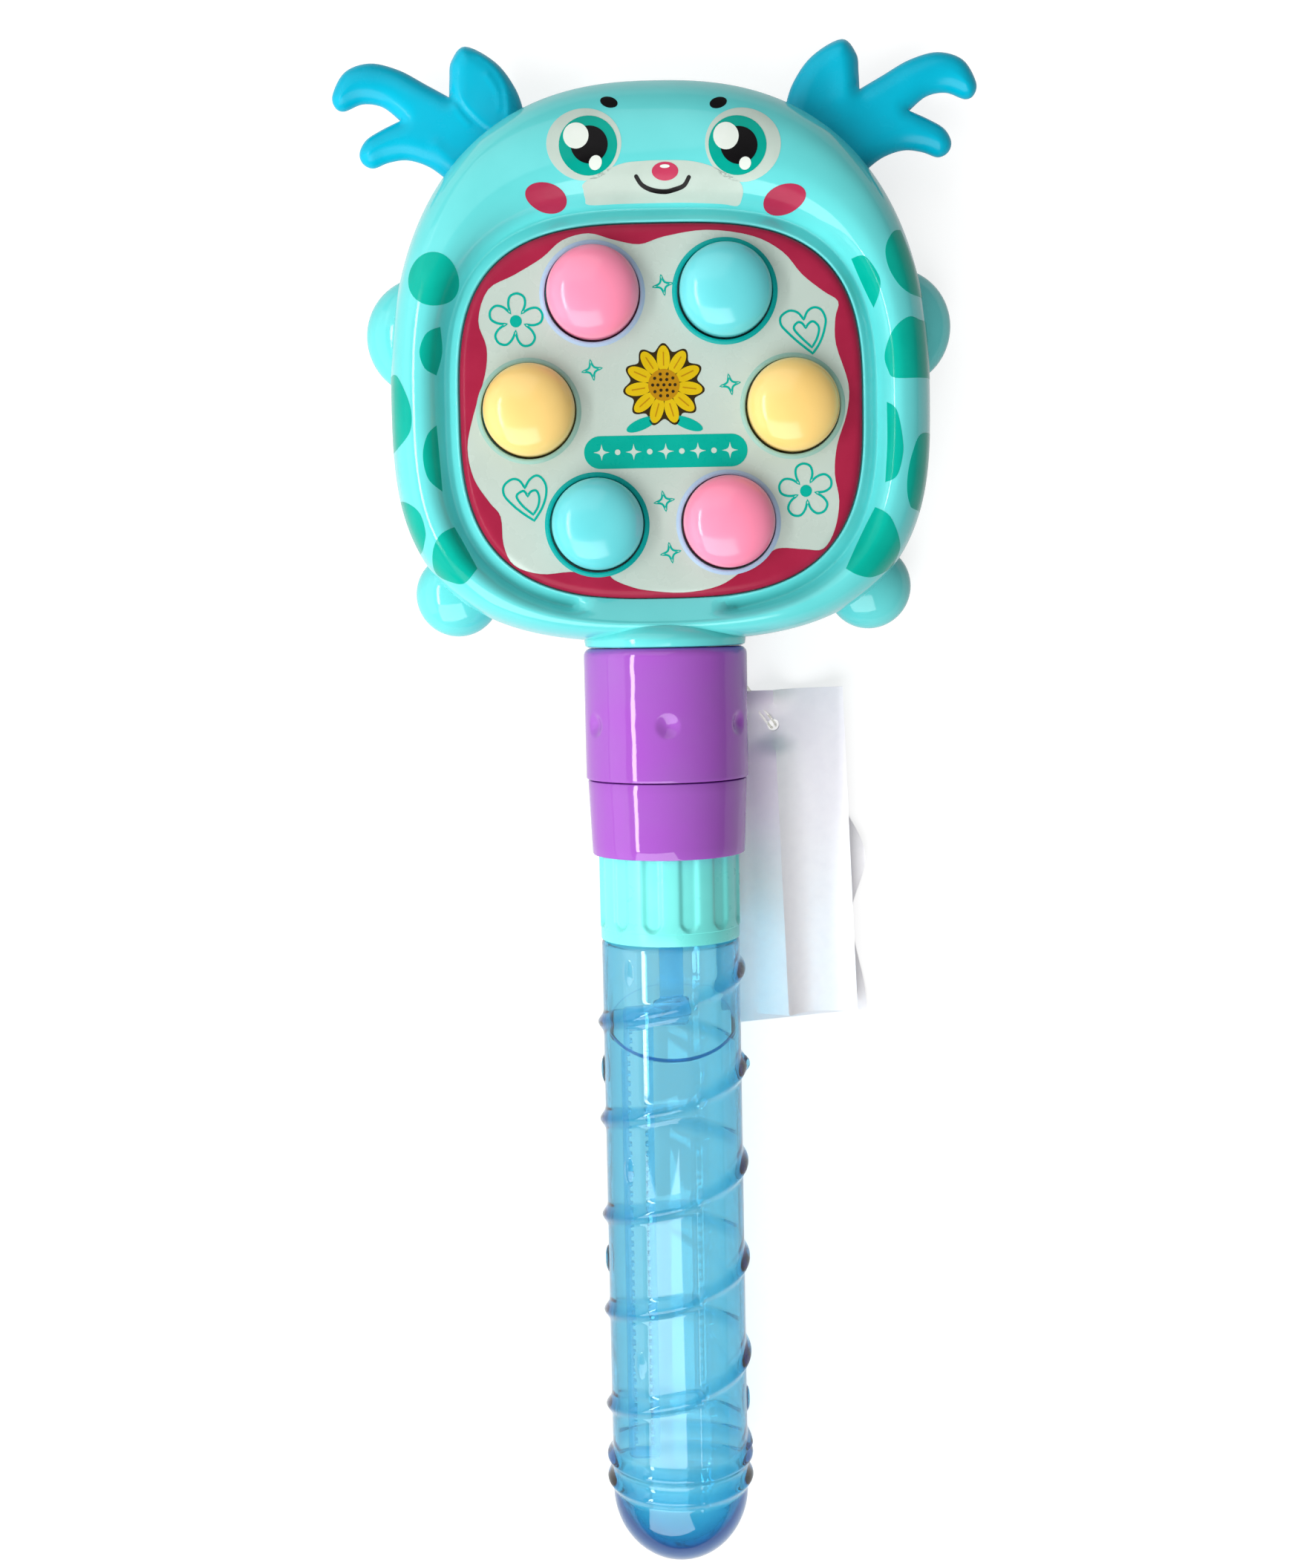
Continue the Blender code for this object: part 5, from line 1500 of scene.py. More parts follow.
    def switch(self) -> None:
        """Makes the slide knob with its ridges."""
        x, y = centre = (self.switch_x, self.switch_y)
        item = box_at(centre, self.knob_half, 0.2, 1.0, 0.5).tool("slide_knob")
        carve(item, "UNION", box_at(centre, self.stem_half, 0.6, 3.2).tool("stem"),
              box_at(centre, self.keeper_half, 2.5, 4.6).tool("keeper"))
        ridges = Form()
        for k in range(4):
            ridges.add(box_at((x + (k - 1.5) * self.ridge_pitch - 0.05, y), (0.3, 3.5), -0.5, 0.45))
        carve(item, "DIFFERENCE", ridges.tool("ridges"))
        finish_carved(item, BLACK_PLASTIC, 30.0, "switch", "dark_plastic", "power_switch")

    def speaker(self) -> None:
        """Makes the speaker: rim, paper cone with its dust cap, basket and magnet."""
        profile = [(0.0, 3.3), (2.0, 3.2), (3.6, 3.6), (4.4, 4.4), (9.0, 3.6), (11.6, 3.0), (12.2, 3.3),
                   (12.9, 2.7), (self.speaker_radius, 2.6), (self.speaker_radius, 4.6), (7.5, 6.4),
                   (7.5, 9.0), (0.0, 9.0)]
        form = turned_up(profile, (0.0, self.speaker_y), 72)
        fit(form.piece("sounder", BLACK_PLASTIC, 30.0), "head", "dark_plastic", "speaker")

    def cells(self) -> None:
        """Makes the three cells with their plated cans, jackets and bands."""
        (centre_x, centre_y), z = self.bay_centre, self.cell_z
        for number in (1, 2, 3):
            y = centre_y + (number - 2) * self.cell_pitch
            flip = 1.0 if number % 2 else -1.0

            def place(r: float, h: float, a: float, y: float = y, flip: float = flip) -> Place:
                """Lays the cell along X."""
                return (centre_x + flip * h, y + r * cos(a), z + r * sin(a))

            can = [(0.0, -22.0), (4.5, -22.0), (4.9, -21.8), (4.9, 20.6), (4.2, 20.8), (2.1, 20.8),
                   (2.0, 21.8), (1.7, 22.0), (0.0, 22.0)]
            body = turned(can, 48, place).piece(f"cell_can_{number}", STEEL, 30.0)
            fit(body, "head", "steel")
            jacket = [(4.95, -21.3), (5.15, -21.1), (5.2, -20.8), (5.2, 19.8), (5.15, 20.2), (4.95, 20.4)]
            fit(turned(jacket, 48, place).piece(f"cell_jacket_{number}", CELL_GREEN, 30.0),
                "head", "cell_jacket", f"battery_{number}")
            band = [(5.2, -20.7), (5.24, -20.6), (5.24, -12.0), (5.2, -11.9)]
            fit(turned(band, 48, place).piece(f"cell_band_{number}", GOLD_INK, 30.0), "head", "cell_jacket")

    def build(self, screws: list[Point]) -> None:
        """Makes every fitting of the back.

        Args:
            screws: Places of the case screws.
        """
        self.door()
        self.switch()
        self.speaker()
        self.cells()
        self.screw("ear_screw", self.ear_centre, self.ear_seat, self.ear_shank, "door", "door_screw")
        for number, place in enumerate(screws, 1):
            self.screw(f"rear_screw_{number}", place, self.screw_seat - GAP, self.case_shank, "head",
                       f"case_screw_{number}")


@dataclass
class GamePanel:
    """Printed plate in the head: its rounded edge, button rings and the prints on it."""

    low_z: float = 36.4
    top_z: float = 39.3
    ring_radius: float = 13.95
    ring_height: float = 0.5
    ring_shift: Point = (-0.15, -0.2)
    edge: tuple[Point, ...] = ((0.3, 36.4), (0.3, 37.3), (0.4, 37.9), (0.75, 38.5), (1.35, 38.95),
                               (2.2, 39.22), (3.2, 39.3))
    border: tuple[Point, ...] = (
        (-18.5, 158.7), (-11.9, 156.9), (-5.0, 155.6), (1.6, 157.5), (12.9, 159.0), (25.0, 157.2),
        (33.0, 152.9), (38.1, 146.9), (43.7, 142.4), (47.6, 139.6), (46.8, 135.2), (46.9, 128.4),
        (50.1, 118.0), (49.6, 110.2), (46.9, 101.8), (46.2, 94.2), (47.3, 86.9), (46.0, 79.3), (42.9, 74.3),
        (38.0, 74.2), (31.9, 74.7), (28.5, 73.6), (21.1, 68.8), (14.6, 64.9), (5.1, 63.3), (-4.9, 64.1),
        (-9.6, 65.3), (-13.5, 67.0), (-16.3, 69.0), (-25.4, 69.4), (-33.3, 69.0), (-40.4, 71.5),
        (-43.1, 77.0), (-43.7, 84.5), (-46.6, 88.4), (-50.6, 94.8), (-52.1, 103.0), (-50.3, 111.5),
        (-46.9, 122.2), (-46.3, 129.4), (-48.3, 136.4), (-45.5, 144.5), (-38.5, 148.2), (-31.0, 152.5),
        (-25.5, 157.0))
    pen: float = 0.62
    bar_centre: Point = (1.0, 101.05)
    bar_half: Point = (21.9, 4.35)
    bead_pitch: float = 4.3
    blossom_centre: Point = (0.8, 118.6)
    petals: int = 11

    def plate_form(self) -> Form:
        """The plate without its rings."""
        form = Form()
        rows = [form.ring([(x, y, z) for x, y in PANEL_EGG.outline(inset)])
                for inset, z in smooth_line(self.edge, 3)]
        form.bands(rows)
        holes = [circle(self.ring_radius - 0.4, spec.centre, 64) for spec in BUTTONS]
        tops = holed_plate(form, rows[-1], holes, self.top_z)
        backs = holed_plate(form, rows[0], holes, self.low_z)
        for top, back in zip(tops, backs):
            form.band(top, back)
        return form

    def rings(self) -> None:
        """Makes the raised ring round each button; its colour is painted shade with a painted reflection of
        its button.
        """
        outer, inner = self.ring_radius, HOLE_RADIUS + 0.1
        crest = self.top_z + self.ring_height
        low, top = self.low_z + 0.2, self.top_z
        profile = ((inner, low), (outer - 0.45, low), (outer - 0.45, top - 0.3), (outer + 0.25, top - 0.1),
                   (outer, top + 0.12), (outer - 0.12, crest - 0.35), (outer - 0.35, crest - 0.08),
                   (outer - 0.65, crest), (inner + 0.25, crest), (inner + 0.06, crest - 0.08),
                   (inner, crest - 0.3))
        for spec in BUTTONS:
            centre = (spec.centre[0] + self.ring_shift[0], spec.centre[1] + self.ring_shift[1])
            fit(turned_up(profile, centre, 96).piece(f"ring_{spec.name}", spec.ring, 40.0),
                "head", "panel_white")

    def flower(self, centre: Point, start: float) -> list[Region]:
        """A five-petalled flower drawn with a pen, with a dot in its middle."""
        petal = ((2.5, -34.0), (4.9, -27.0), (6.7, -16.0), (7.3, 0.0), (6.7, 16.0), (4.9, 27.0))
        points, corners = [], []
        for k in range(5):
            corners.append(len(points))
            points += [polar(centre, reach, radians(start + 72.0 * k + aside)) for reach, aside in petal]
        return [stroke(cornered(points, 4, corners), self.pen, True), Region([circle(1.6, centre, 24)])]

    @staticmethod
    def star(centre: Point, tip: float, valley: float, start: float, steps: int) -> Loop:
        """A four-pointed star's outline, from the angle of its first tip in degrees."""
        points = [polar(centre, valley if k % 2 else tip, radians(start + 45.0 * k)) for k in range(8)]
        return cornered(points, steps, (0, 2, 4, 6))

    def doodles(self) -> list[Region]:
        """Flowers, hearts and stars in one ink."""
        regions = self.flower((-38.3, 136.1), 14.0) + self.flower((38.4, 89.8), 24.0)
        hearts = (
            ((38.4, 135.0), (36.8, 136.9), (34.5, 137.4), (32.3, 135.9), (32.3, 133.8), (33.9, 131.9),
             (36.8, 129.2), (40.7, 126.1), (42.2, 128.2), (43.3, 130.5), (44.0, 133.0), (44.2, 135.2),
             (43.1, 137.5), (41.2, 138.2), (39.4, 137.2)),
            ((38.9, 132.8), (37.9, 134.1), (36.7, 134.3), (35.7, 132.8), (37.4, 130.6), (40.5, 127.7),
             (41.9, 130.2), (42.4, 132.9), (41.0, 134.5), (39.7, 134.0)),
            ((-37.0, 92.0), (-38.5, 94.1), (-40.5, 94.4), (-42.6, 92.7), (-42.6, 90.2), (-40.4, 87.6),
             (-37.8, 85.4), (-34.7, 83.3), (-32.7, 86.3), (-31.5, 89.4), (-31.3, 92.4), (-32.4, 94.6),
             (-34.0, 95.3), (-35.8, 94.1)),
            ((-36.3, 89.8), (-37.0, 91.0), (-37.8, 91.2), (-39.3, 89.9), (-37.8, 87.4), (-34.9, 84.9),
             (-33.6, 87.0), (-33.2, 89.3), (-33.7, 91.0), (-34.5, 91.4), (-35.6, 90.9)))
        tips = (7, 5, 7, 5)
        for heart, tip in zip(hearts, tips):
            regions.append(stroke(cornered(heart, 4, (0, tip)), self.pen, True))
        places = ((1.0, 144.8), (18.5, 118.4), (-18.3, 122.9), (0.3, 87.8), (1.8, 74.0))
        stars = [stroke(self.star(place, 2.7, 0.95, 100.0, 4), self.pen * 0.85, True) for place in places]
        return regions + stars

    def pill(self) -> Loop:
        """The outline of the bar with round ends."""
        (x, y), (half_width, half_height), steps = self.bar_centre, self.bar_half, 20
        outline = []
        for side, start in ((1.0, -90.0), (-1.0, 90.0)):
            end = (x + side * (half_width - half_height), y)
            outline += [polar(end, half_height, radians(start + 180.0 * k / steps)) for k in range(steps + 1)]
        return outline

    def beads(self) -> list[Region]:
        """A plain row of dots and small stars on the bar."""
        x, y = self.bar_centre
        centres = [(x + (k - 4) * self.bead_pitch, y) for k in range(9)]
        return [Region([circle(0.75, centre, 20) if k % 2 else self.star(centre, 2.2, 0.75, 90.0, 3)])
                for k, centre in enumerate(centres)]

    def blossom(self) -> Films:
        """A plain golden blossom with two leaves, in the middle of the panel."""
        centre, count = self.blossom_centre, self.petals
        petals, veins = [], []
        for k in range(count):
            axis = 90.0 + 360.0 * k / count
            turn = radians(axis)
            petals.append(oval((*polar(centre, 6.9, turn), 3.5, 1.75), axis, 28))
            veins.append(stroke([polar(centre, reach, turn) for reach in (5.2, 6.4, 7.6, 8.6)], 0.3, False))
        outline = [polar(centre, 10.0 + cos(count * (turn - pi / 2.0)), turn) for turn in around(220)]
        dots = [Region([circle(0.42, polar(centre, reach, turn), 14)])
                for reach, number in ((0.0, 1), (1.6, 6), (3.0, 10)) for turn in around(number)]
        leaves = [oval((centre[0] + side * 6.2, 108.3, 4.3, 1.5), side * -22.0, 28) for side in (-1.0, 1.0)]
        return {
            "blossom_outline": (BROWN_INK, Layer.FIRST, [Region([outline])]),
            "blossom_petals": (GOLD_INK, Layer.SECOND, petals),
            "blossom_veins": (AMBER_INK, Layer.THIRD, veins),
            "blossom_heart": (AMBER_INK, Layer.THIRD, [Region([circle(4.2, centre, 40)])]),
            "blossom_dots": (BROWN_INK, Layer.FOURTH, dots),
            "blossom_leaves": (TEAL_INK, Layer.FIRST, leaves),
        }

    def build(self) -> None:
        """Makes the plate, its rings and its prints."""
        form = self.plate_form()
        fit(form.piece("panel_plate", PANEL_WHITE, 40.0), "head", "panel_white", "game_panel")
        self.rings()
        holes = [circle(self.ring_radius - 0.2, spec.centre, 64) for spec in BUTTONS]
        wave = smooth_line(self.border, 4, closed=True)
        Carrier(form).show({
            "panel_border": (MAGENTA_INK, Layer.FIRST, [Region([PANEL_EGG.outline(0.32)], [wave, *holes])]),
            "panel_doodles": (TEAL_INK, Layer.FIRST, self.doodles()),
            "panel_bar": (TEAL_INK, Layer.FIRST, [Region([self.pill()])]),
            "panel_beads": (EYE_WHITE_INK, Layer.SECOND, self.beads()),
            **self.blossom()}, "panel_white")


@dataclass(frozen=True)
class Eye:
    """Places of one printed eye: each is a centre and two half sizes."""

    ring: Oval
    iris: Oval
    pupil: Oval
    glint: Oval
    low_glint: Oval
    glint_tilt: float


@dataclass
class FacePrint:
    """The animal's face printed on the forehead, and the spots round the rim."""

    left: Eye = Eye((-19.1, 181.6, 9.9, 9.6), (-18.0, 181.1, 7.7, 7.9), (-17.7, 181.2, 4.9, 5.0),
                    (-21.15, 183.6, 3.35, 3.5), (-16.15, 176.4, 1.65, 1.9), -25.0)
    right: Eye = Eye((22.8, 180.75, 10.0, 9.85), (21.35, 180.45, 7.65, 7.85), (21.7, 180.3, 4.9, 5.0),
                     (18.35, 182.75, 3.35, 3.65), (23.25, 175.5, 1.55, 1.65), -25.0)
    muzzle: tuple[Point, ...] = (
        (-10.1, 175.8), (-3.6, 176.6), (2.9, 176.7), (8.6, 176.4), (13.7, 175.2), (18.6, 173.0),
        (21.8, 170.9), (22.7, 169.1), (22.5, 167.3), (21.3, 165.6), (16.8, 166.2), (6.2, 166.7),
        (-8.9, 166.7), (-18.1, 166.5), (-19.1, 167.8), (-19.5, 169.7), (-19.0, 171.7))
    smile: tuple[Point, ...] = ((-5.5, 172.8), (-4.0, 170.8), (-1.3, 169.6), (2.0, 169.2), (4.5, 169.6),
                                (7.1, 170.5), (8.4, 172.4))
    spots: tuple[tuple[tuple[Point, ...], tuple[int, ...]], ...] = (
        (((-58.5, 135.0), (-62.1, 132.9), (-63.9, 128.3), (-62.7, 124.0), (-59.9, 122.3),
          (-58.4, 128.6)), (0, 4)),
        (((-73.9, 122.9), (-70.8, 122.7), (-67.8, 117.0), (-66.6, 111.9), (-67.4, 107.0), (-71.4, 103.2),
          (-74.5, 102.5)), (0, 6)),
        (((-60.2, 109.1), (-62.6, 106.2), (-63.8, 100.9), (-62.6, 94.9), (-59.1, 91.5),
          (-59.7, 100.3)), (0, 4)),
        (((-73.9, 89.6), (-69.7, 89.1), (-65.5, 86.2), (-63.9, 81.2), (-64.4, 78.1), (-66.0, 75.4),
          (-70.8, 74.0)), (0, 6)),
        (((-56.2, 82.0), (-59.9, 79.8), (-62.1, 75.5), (-62.0, 69.9), (-56.7, 67.1), (-53.3, 67.2),
          (-50.2, 70.8)), (0, 6)),
        (((51.4, 150.9), (54.7, 150.9), (58.3, 145.6), (58.4, 141.7), (57.2, 138.0)), (0, 4)),
        (((64.9, 158.6), (62.5, 157.6), (60.4, 154.2), (60.1, 150.8), (61.3, 146.8), (64.1, 142.9),
          (67.8, 141.0), (72.6, 141.4)), (0, 7)),
        (((72.6, 134.9), (69.7, 134.6), (66.0, 135.0), (61.9, 131.6), (59.9, 125.8), (60.6, 121.4),
          (62.4, 119.0), (69.6, 119.2), (74.6, 120.0)), (0, 8)),
        (((60.3, 112.9), (62.7, 110.4), (64.1, 103.2), (64.1, 98.5), (62.5, 93.2), (59.6, 91.6),
          (60.3, 102.0)), (0, 5)),
        (((74.6, 105.0), (69.3, 104.2), (66.8, 99.2), (65.5, 93.8), (65.3, 89.1), (66.1, 85.8), (67.4, 84.5),
          (72.8, 83.6)), (0, 7)),
        (((57.0, 85.1), (60.6, 82.4), (63.4, 76.3), (63.7, 73.0), (61.7, 69.0), (56.1, 66.5), (51.7, 67.1),
          (48.7, 68.8)), (0, 7)))

    def films(self) -> Films:
        """Returns each printed film of the face with its ink, layer and regions."""
        eyes = (self.left, self.right)
        muzzle = Region([smooth_line(self.muzzle, 4, closed=True)])
        glints = [oval(eye.glint) for eye in eyes] + [oval(eye.low_glint, eye.glint_tilt) for eye in eyes]
        return {
            "eye_whites": (EYE_WHITE_INK, Layer.FIRST, [oval(eye.ring) for eye in eyes]),
            "muzzle_patch": (EYE_WHITE_INK, Layer.FIRST, [muzzle]),
            "irises": (IRIS_INK, Layer.SECOND, [oval(eye.iris) for eye in eyes]),
            "pupils": (BLACK_INK, Layer.THIRD, [oval(eye.pupil) for eye in eyes]),
            "eye_glints": (HIGHLIGHT_INK, Layer.FOURTH, glints),
            "brows": (BLACK_INK, Layer.FIRST, [oval((-12.3, 192.8, 2.4, 1.6), -22.0),
                                               oval((16.6, 192.1, 2.4, 1.6), 22.0)]),
            "cheeks": (CHEEK_INK, Layer.FIRST, [oval((-29.45, 168.1, 5.5, 3.5), -12.0),
                                                oval((33.7, 166.5, 5.6, 3.5), 12.0)]),
            "nose_patch": (NOSE_INK, Layer.SECOND, [oval((2.15, 174.0, 3.5, 2.3))]),
            "nose_glint": (HIGHLIGHT_INK, Layer.THIRD, [oval((2.1, 175.2, 1.3, 0.45))]),
            "smile_line": (BLACK_INK, Layer.SECOND, [stroke(smooth_line(self.smile, 6), 1.07, False)]),
            "rim_spots": (SPOT_INK, Layer.FIRST, self.spot_regions()),
        }

    def spot_regions(self) -> list[Region]:
        """Returns the rim's spots, kept inside the head's outline."""
        edge = HEAD_EGG.outline(0.35)
        cut = [Region([cornered(points, 6, corners), edge]) for points, corners in self.spots]
        return [oval((-60.0, 147.3, 6.7, 7.0)), *cut]

    def build(self, carrier: Carrier) -> None:
        """Lays every film on the front shell's surface."""
        carrier.show(self.films(), "shell_turquoise")


@dataclass
class PushButton:
    """One domed button with its skirt, flange and plunger."""

    spec: ButtonSpec
    radius: float = 12.3
    shoulder_z: float = 41.2
    top_z: float = 48.4
    power: float = 2.25
    flange_radius: float = 14.0
    flange_top: float = 33.6
    flange_thickness: float = 1.2
    wall: float = 1.5
    plunger_radius: float = 3.0
    plunger_z: float = 27.2

    def build(self) -> None:
        """Makes the button."""
        top, shoulder, flange = self.top_z, self.shoulder_z, self.flange_top
        steps, bend = 30, 2.0 / self.power
        profile = [(0.0, top)]
        for k in range(1, steps + 1):
            turn = pi / 2.0 * k / steps
            profile.append((self.radius * sin(turn) ** bend, shoulder + (top - shoulder) * cos(turn) ** bend))
        inner, under = self.radius - self.wall, flange - self.flange_thickness
        profile += [(self.radius, flange), (self.flange_radius, flange), (self.flange_radius, under),
                    (inner, under), (inner, shoulder), (inner * 0.7, shoulder + 3.4),
                    (self.plunger_radius, top - 2.5), (self.plunger_radius, self.plunger_z),
                    (0.0, self.plunger_z)]
        form = turned_up(profile, self.spec.centre, 96)
        fit(form.piece(f"push_{self.spec.name}", self.spec.finish, 40.0), self.spec.name, self.spec.slot,
            f"button_{self.spec.name}")


@dataclass(frozen=True)
class Ridge:
    """A soft raised line on an antler, drawn on the right one."""

    line: tuple[Point, ...]
    height: float
    half_width: float


@dataclass
class Antler:
    """One soft antler: a leaf-like lobe, a long and a short tine, and a root inside the head."""

    side: Side
    low_z: float = 12.7
    high_z: float = 20.7
    roundness: float = 5.2
    spacing: float = 0.62
    insets: tuple[float, ...] = (0.12, 0.45, 0.95, 1.6)
    edge_gap: float = 2.3
    leaf: tuple[Point, ...] = ((35.7, 195.0), (38.0, 202.0), (43.3, 209.2), (51.6, 213.6), (55.6, 209.6),
                               (56.2, 204.9), (56.4, 200.2))
    long_tine: tuple[Point, ...] = ((56.4, 200.2), (62.5, 203.6), (70.0, 207.7), (77.9, 209.6), (84.8, 207.4),
                                    (88.4, 201.4), (87.8, 198.0), (85.3, 197.0), (80.2, 198.8), (74.8, 197.9),
                                    (70.0, 194.1))
    short_tine: tuple[Point, ...] = ((70.0, 194.1), (75.4, 191.6), (79.6, 189.0), (81.5, 185.5),
                                     (80.6, 182.7), (77.8, 181.5), (73.4, 183.0), (68.2, 183.5),
                                     (62.3, 181.5), (57.0, 177.5))
    lobe_line: tuple[Point, ...] = ((57.4, 209.0), (56.6, 205.0), (55.4, 201.6), (53.0, 197.6), (49.2, 193.2),
                                    (44.7, 189.6), (39.0, 186.0))
    lobe_step: float = 0.75
    left_ridges: tuple[Ridge, ...] = (
        Ridge(((47.6, 210.6), (45.6, 209.4), (42.6, 206.2), (40.4, 201.3), (39.9, 194.2)), 0.45, 0.9),
        Ridge(((45.6, 204.8), (43.0, 200.6), (42.3, 196.0)), 0.22, 0.7),
        Ridge(((54.8, 197.4), (53.2, 194.6), (50.8, 191.8)), 0.28, 0.45),
        Ridge(((60.0, 186.4), (57.4, 184.0), (55.6, 182.4)), 0.3, 1.6))
    right_ridges: tuple[Ridge, ...] = (
        Ridge(((50.4, 210.6), (51.8, 206.0), (52.3, 201.5), (52.0, 197.0)), 0.7, 3.0),)

    def outline(self) -> Loop:
        """The antler seen from the front, on the right side."""
        points = smooth_line(self.leaf, 6)[:-1] + smooth_line(self.long_tine, 6)[:-1]
        points += smooth_line(self.short_tine, 6)
        return points + [(51.3, 172.7), (46.0, 168.0), (31.0, 179.5), (31.5, 189.0)]

    def form(self) -> Form:
        """The antler as a pillow whose thickness grows from its edge."""
        outline = self.outline()
        region = Region([outline])
        grid = grid_over(np.min(outline, axis=0), np.max(outline, axis=0), self.spacing)
        grid = grid[region.holds(grid)]
        grid = grid[edge_distance(grid, outline) > self.edge_gap]
        near = []
        ends = np.array(outline, float)
        along = np.roll(ends, -1, axis=0) - np.roll(ends, 1, axis=0)
        along /= np.linalg.norm(along, axis=1)[:, None]
        inward = np.stack((along[:, 1], -along[:, 0]), axis=1)
        for inset in self.insets:
            row = ends + inward * inset
            row = row[region.holds(row)]
            near.append(row[edge_distance(row, outline) > inset * 0.93])
        count = len(outline)
        verts, _, faces, *_ = geometry.delaunay_2d_cdt(
            [Vector(p) for p in (*outline, *np.vstack([*near, grid]))],
            [(i, (i + 1) % count) for i in range(count)], [], 0, 1e-5)
        places = np.array([(v.x, v.y) for v in verts])
        middles = np.array([places[list(face)].mean(axis=0) for face in faces])
        kept = [tuple(face) for face, held in zip(faces, region.holds(middles)) if held]
        depth = edge_distance(places, outline)
        depth[:count] = 0.0
        share = np.clip(depth / self.roundness, 0.0, 1.0)
        bulk = np.sqrt(1.0 - (1.0 - share) ** 2)
        middle, half = (self.low_z + self.high_z) / 2.0, (self.high_z - self.low_z) / 2.0
        relief = self.relief(places) * np.clip(depth / self.insets[-1], 0.0, 1.0)
        form = Form()
        top = form.ring([(self.side.value * x, y, middle + half * b + r)
                         for (x, y), b, r in zip(places, bulk, relief)])
        back = form.ring([(self.side.value * x, y, middle - half * b) for (x, y), b in zip(places, bulk)])
        for face in kept:
            form.faces.append(tuple(top[i] for i in face))
            form.faces.append(tuple(back[i] for i in reversed(face)))
        return form

    def relief(self, places: np.ndarray) -> np.ndarray:
        """Height of the lobe's edge and of the ridges on the front, at each place.

        Args:
            places: An array of x and y on the right antler.

        Returns:
            The heights.
        """
        height = np.zeros(len(places))
        for ridge in self.right_ridges if self.side is Side.RIGHT else self.left_ridges:
            away = line_distance(places, smooth_line(ridge.line, 5))[0] / ridge.half_width
            height += ridge.height * np.exp(-away * away)
        if self.side is Side.LEFT:
            away, over = line_distance(places, smooth_line(self.lobe_line, 5))
            rise = np.clip(away / 1.5, 0.0, 1.0)
            inside = self.lobe_step * np.sqrt(1.0 - (1.0 - rise) ** 2) * np.exp(-((away / 9.0) ** 2))
            outside = -0.25 * np.exp(-((away / 1.1) ** 2))
            height += np.where(over < 0.0, inside, outside)
        return height

    def build(self) -> None:
        """Makes the antler."""
        item = self.form().piece(f"horn_{self.side.word}", ANTLER_BLUE, 180.0)
        fit(item, "head", "antler_blue", f"antler_{self.side.word}")


@dataclass
class Collars:
    """Upper collar with its dimples, and the socket ring under it."""

    radius: float = 22.7
    bore: float = 19.0
    top_y: float = 48.6
    bottom_y: float = 12.2
    dimple_y: float = 27.6
    dimple_radius: float = 3.6
    dimple_depth: float = 1.25
    ring_bottom_y: float = -9.0
    ring_top_radius: float = 22.2
    ring_bottom_radius: float = 21.4
    socket_bore: float = 20.0
    shoulder: float = 2.2
    flange_y: float = 52.8
    spigot: float = 11.5
    roof_y: float = 43.0

    def dimpled(self, radius: float, y: float, angle: float) -> float:
        """Pulls the outside in at the six dimples."""
        if radius < self.radius - 0.1:
            return radius
        pitch = pi / 3.0
        aside = (angle + pitch / 2.0) % pitch - pitch / 2.0
        away = math.hypot(aside * radius, y - self.dimple_y) / self.dimple_radius
        if away >= 1.0:
            return radius
        return radius - self.dimple_depth * (0.5 + 0.5 * cos(pi * away)) ** 0.7

    def upper(self) -> None:
        """Makes the upper collar."""
        top, low, r, flange, spigot = self.top_y, self.bottom_y, self.radius, self.flange_y, self.spigot
        profile = [(self.bore, low), (r - 0.5, low), (r - 0.12, low + 0.15), (r, low + 0.5)]
        rows = 84
        start, end = low + 1.0, top - 2.4
        profile += [(r, start + (end - start) * k / rows) for k in range(rows + 1)]
        bend, steps = self.shoulder, 6
        profile += [polar((r - bend, top - bend), bend, pi / 2.0 * k / steps) for k in range(1, steps + 1)]
        profile += [(spigot, top), (spigot, flange), (spigot + 1.4, flange), (spigot + 1.4, flange + 1.8),
                    (spigot - 2.5, flange + 1.8), (spigot - 2.5, flange + 9.0), (spigot - 4.5, flange + 9.0),
                    (spigot - 4.5, self.roof_y), (self.bore, self.roof_y)]
        form = turned_on_stick(profile, 288, self.dimpled)
        fit(form.piece("upper_collar", PURPLE, 40.0), "head", "collar_purple", "neck_collar")

    def lower(self) -> None:
        """Makes the socket ring."""
        low, top, steps = self.ring_bottom_y, self.bottom_y - GAP, 8
        r, wide, sleeve = self.ring_bottom_radius, self.ring_top_radius, self.bore
        sleeve_top, bore = top + 17.0, 6.0
        profile = [(self.socket_bore, low), (r - 0.6, low), (r - 0.2, low + 0.15), (r, low + 0.6)]
        profile += [(r + (wide - r) * k / steps, low + 0.6 + (top - low - 1.0) * k / steps)
                    for k in range(1, steps + 1)]
        profile += [(wide - 0.1, top - 0.15), (wide - 0.4, top), (sleeve - GAP, top),
                    (sleeve - GAP, sleeve_top), (sleeve - 2.2, sleeve_top), (sleeve - 2.2, bore),
                    (self.socket_bore, bore)]
        fit(turned_on_stick(profile, 192).piece("socket_ring", PURPLE, 40.0), "head", "collar_purple",
            "coupling_ring")

    def build(self) -> None:
        """Makes both collars."""
        self.upper()
        self.lower()


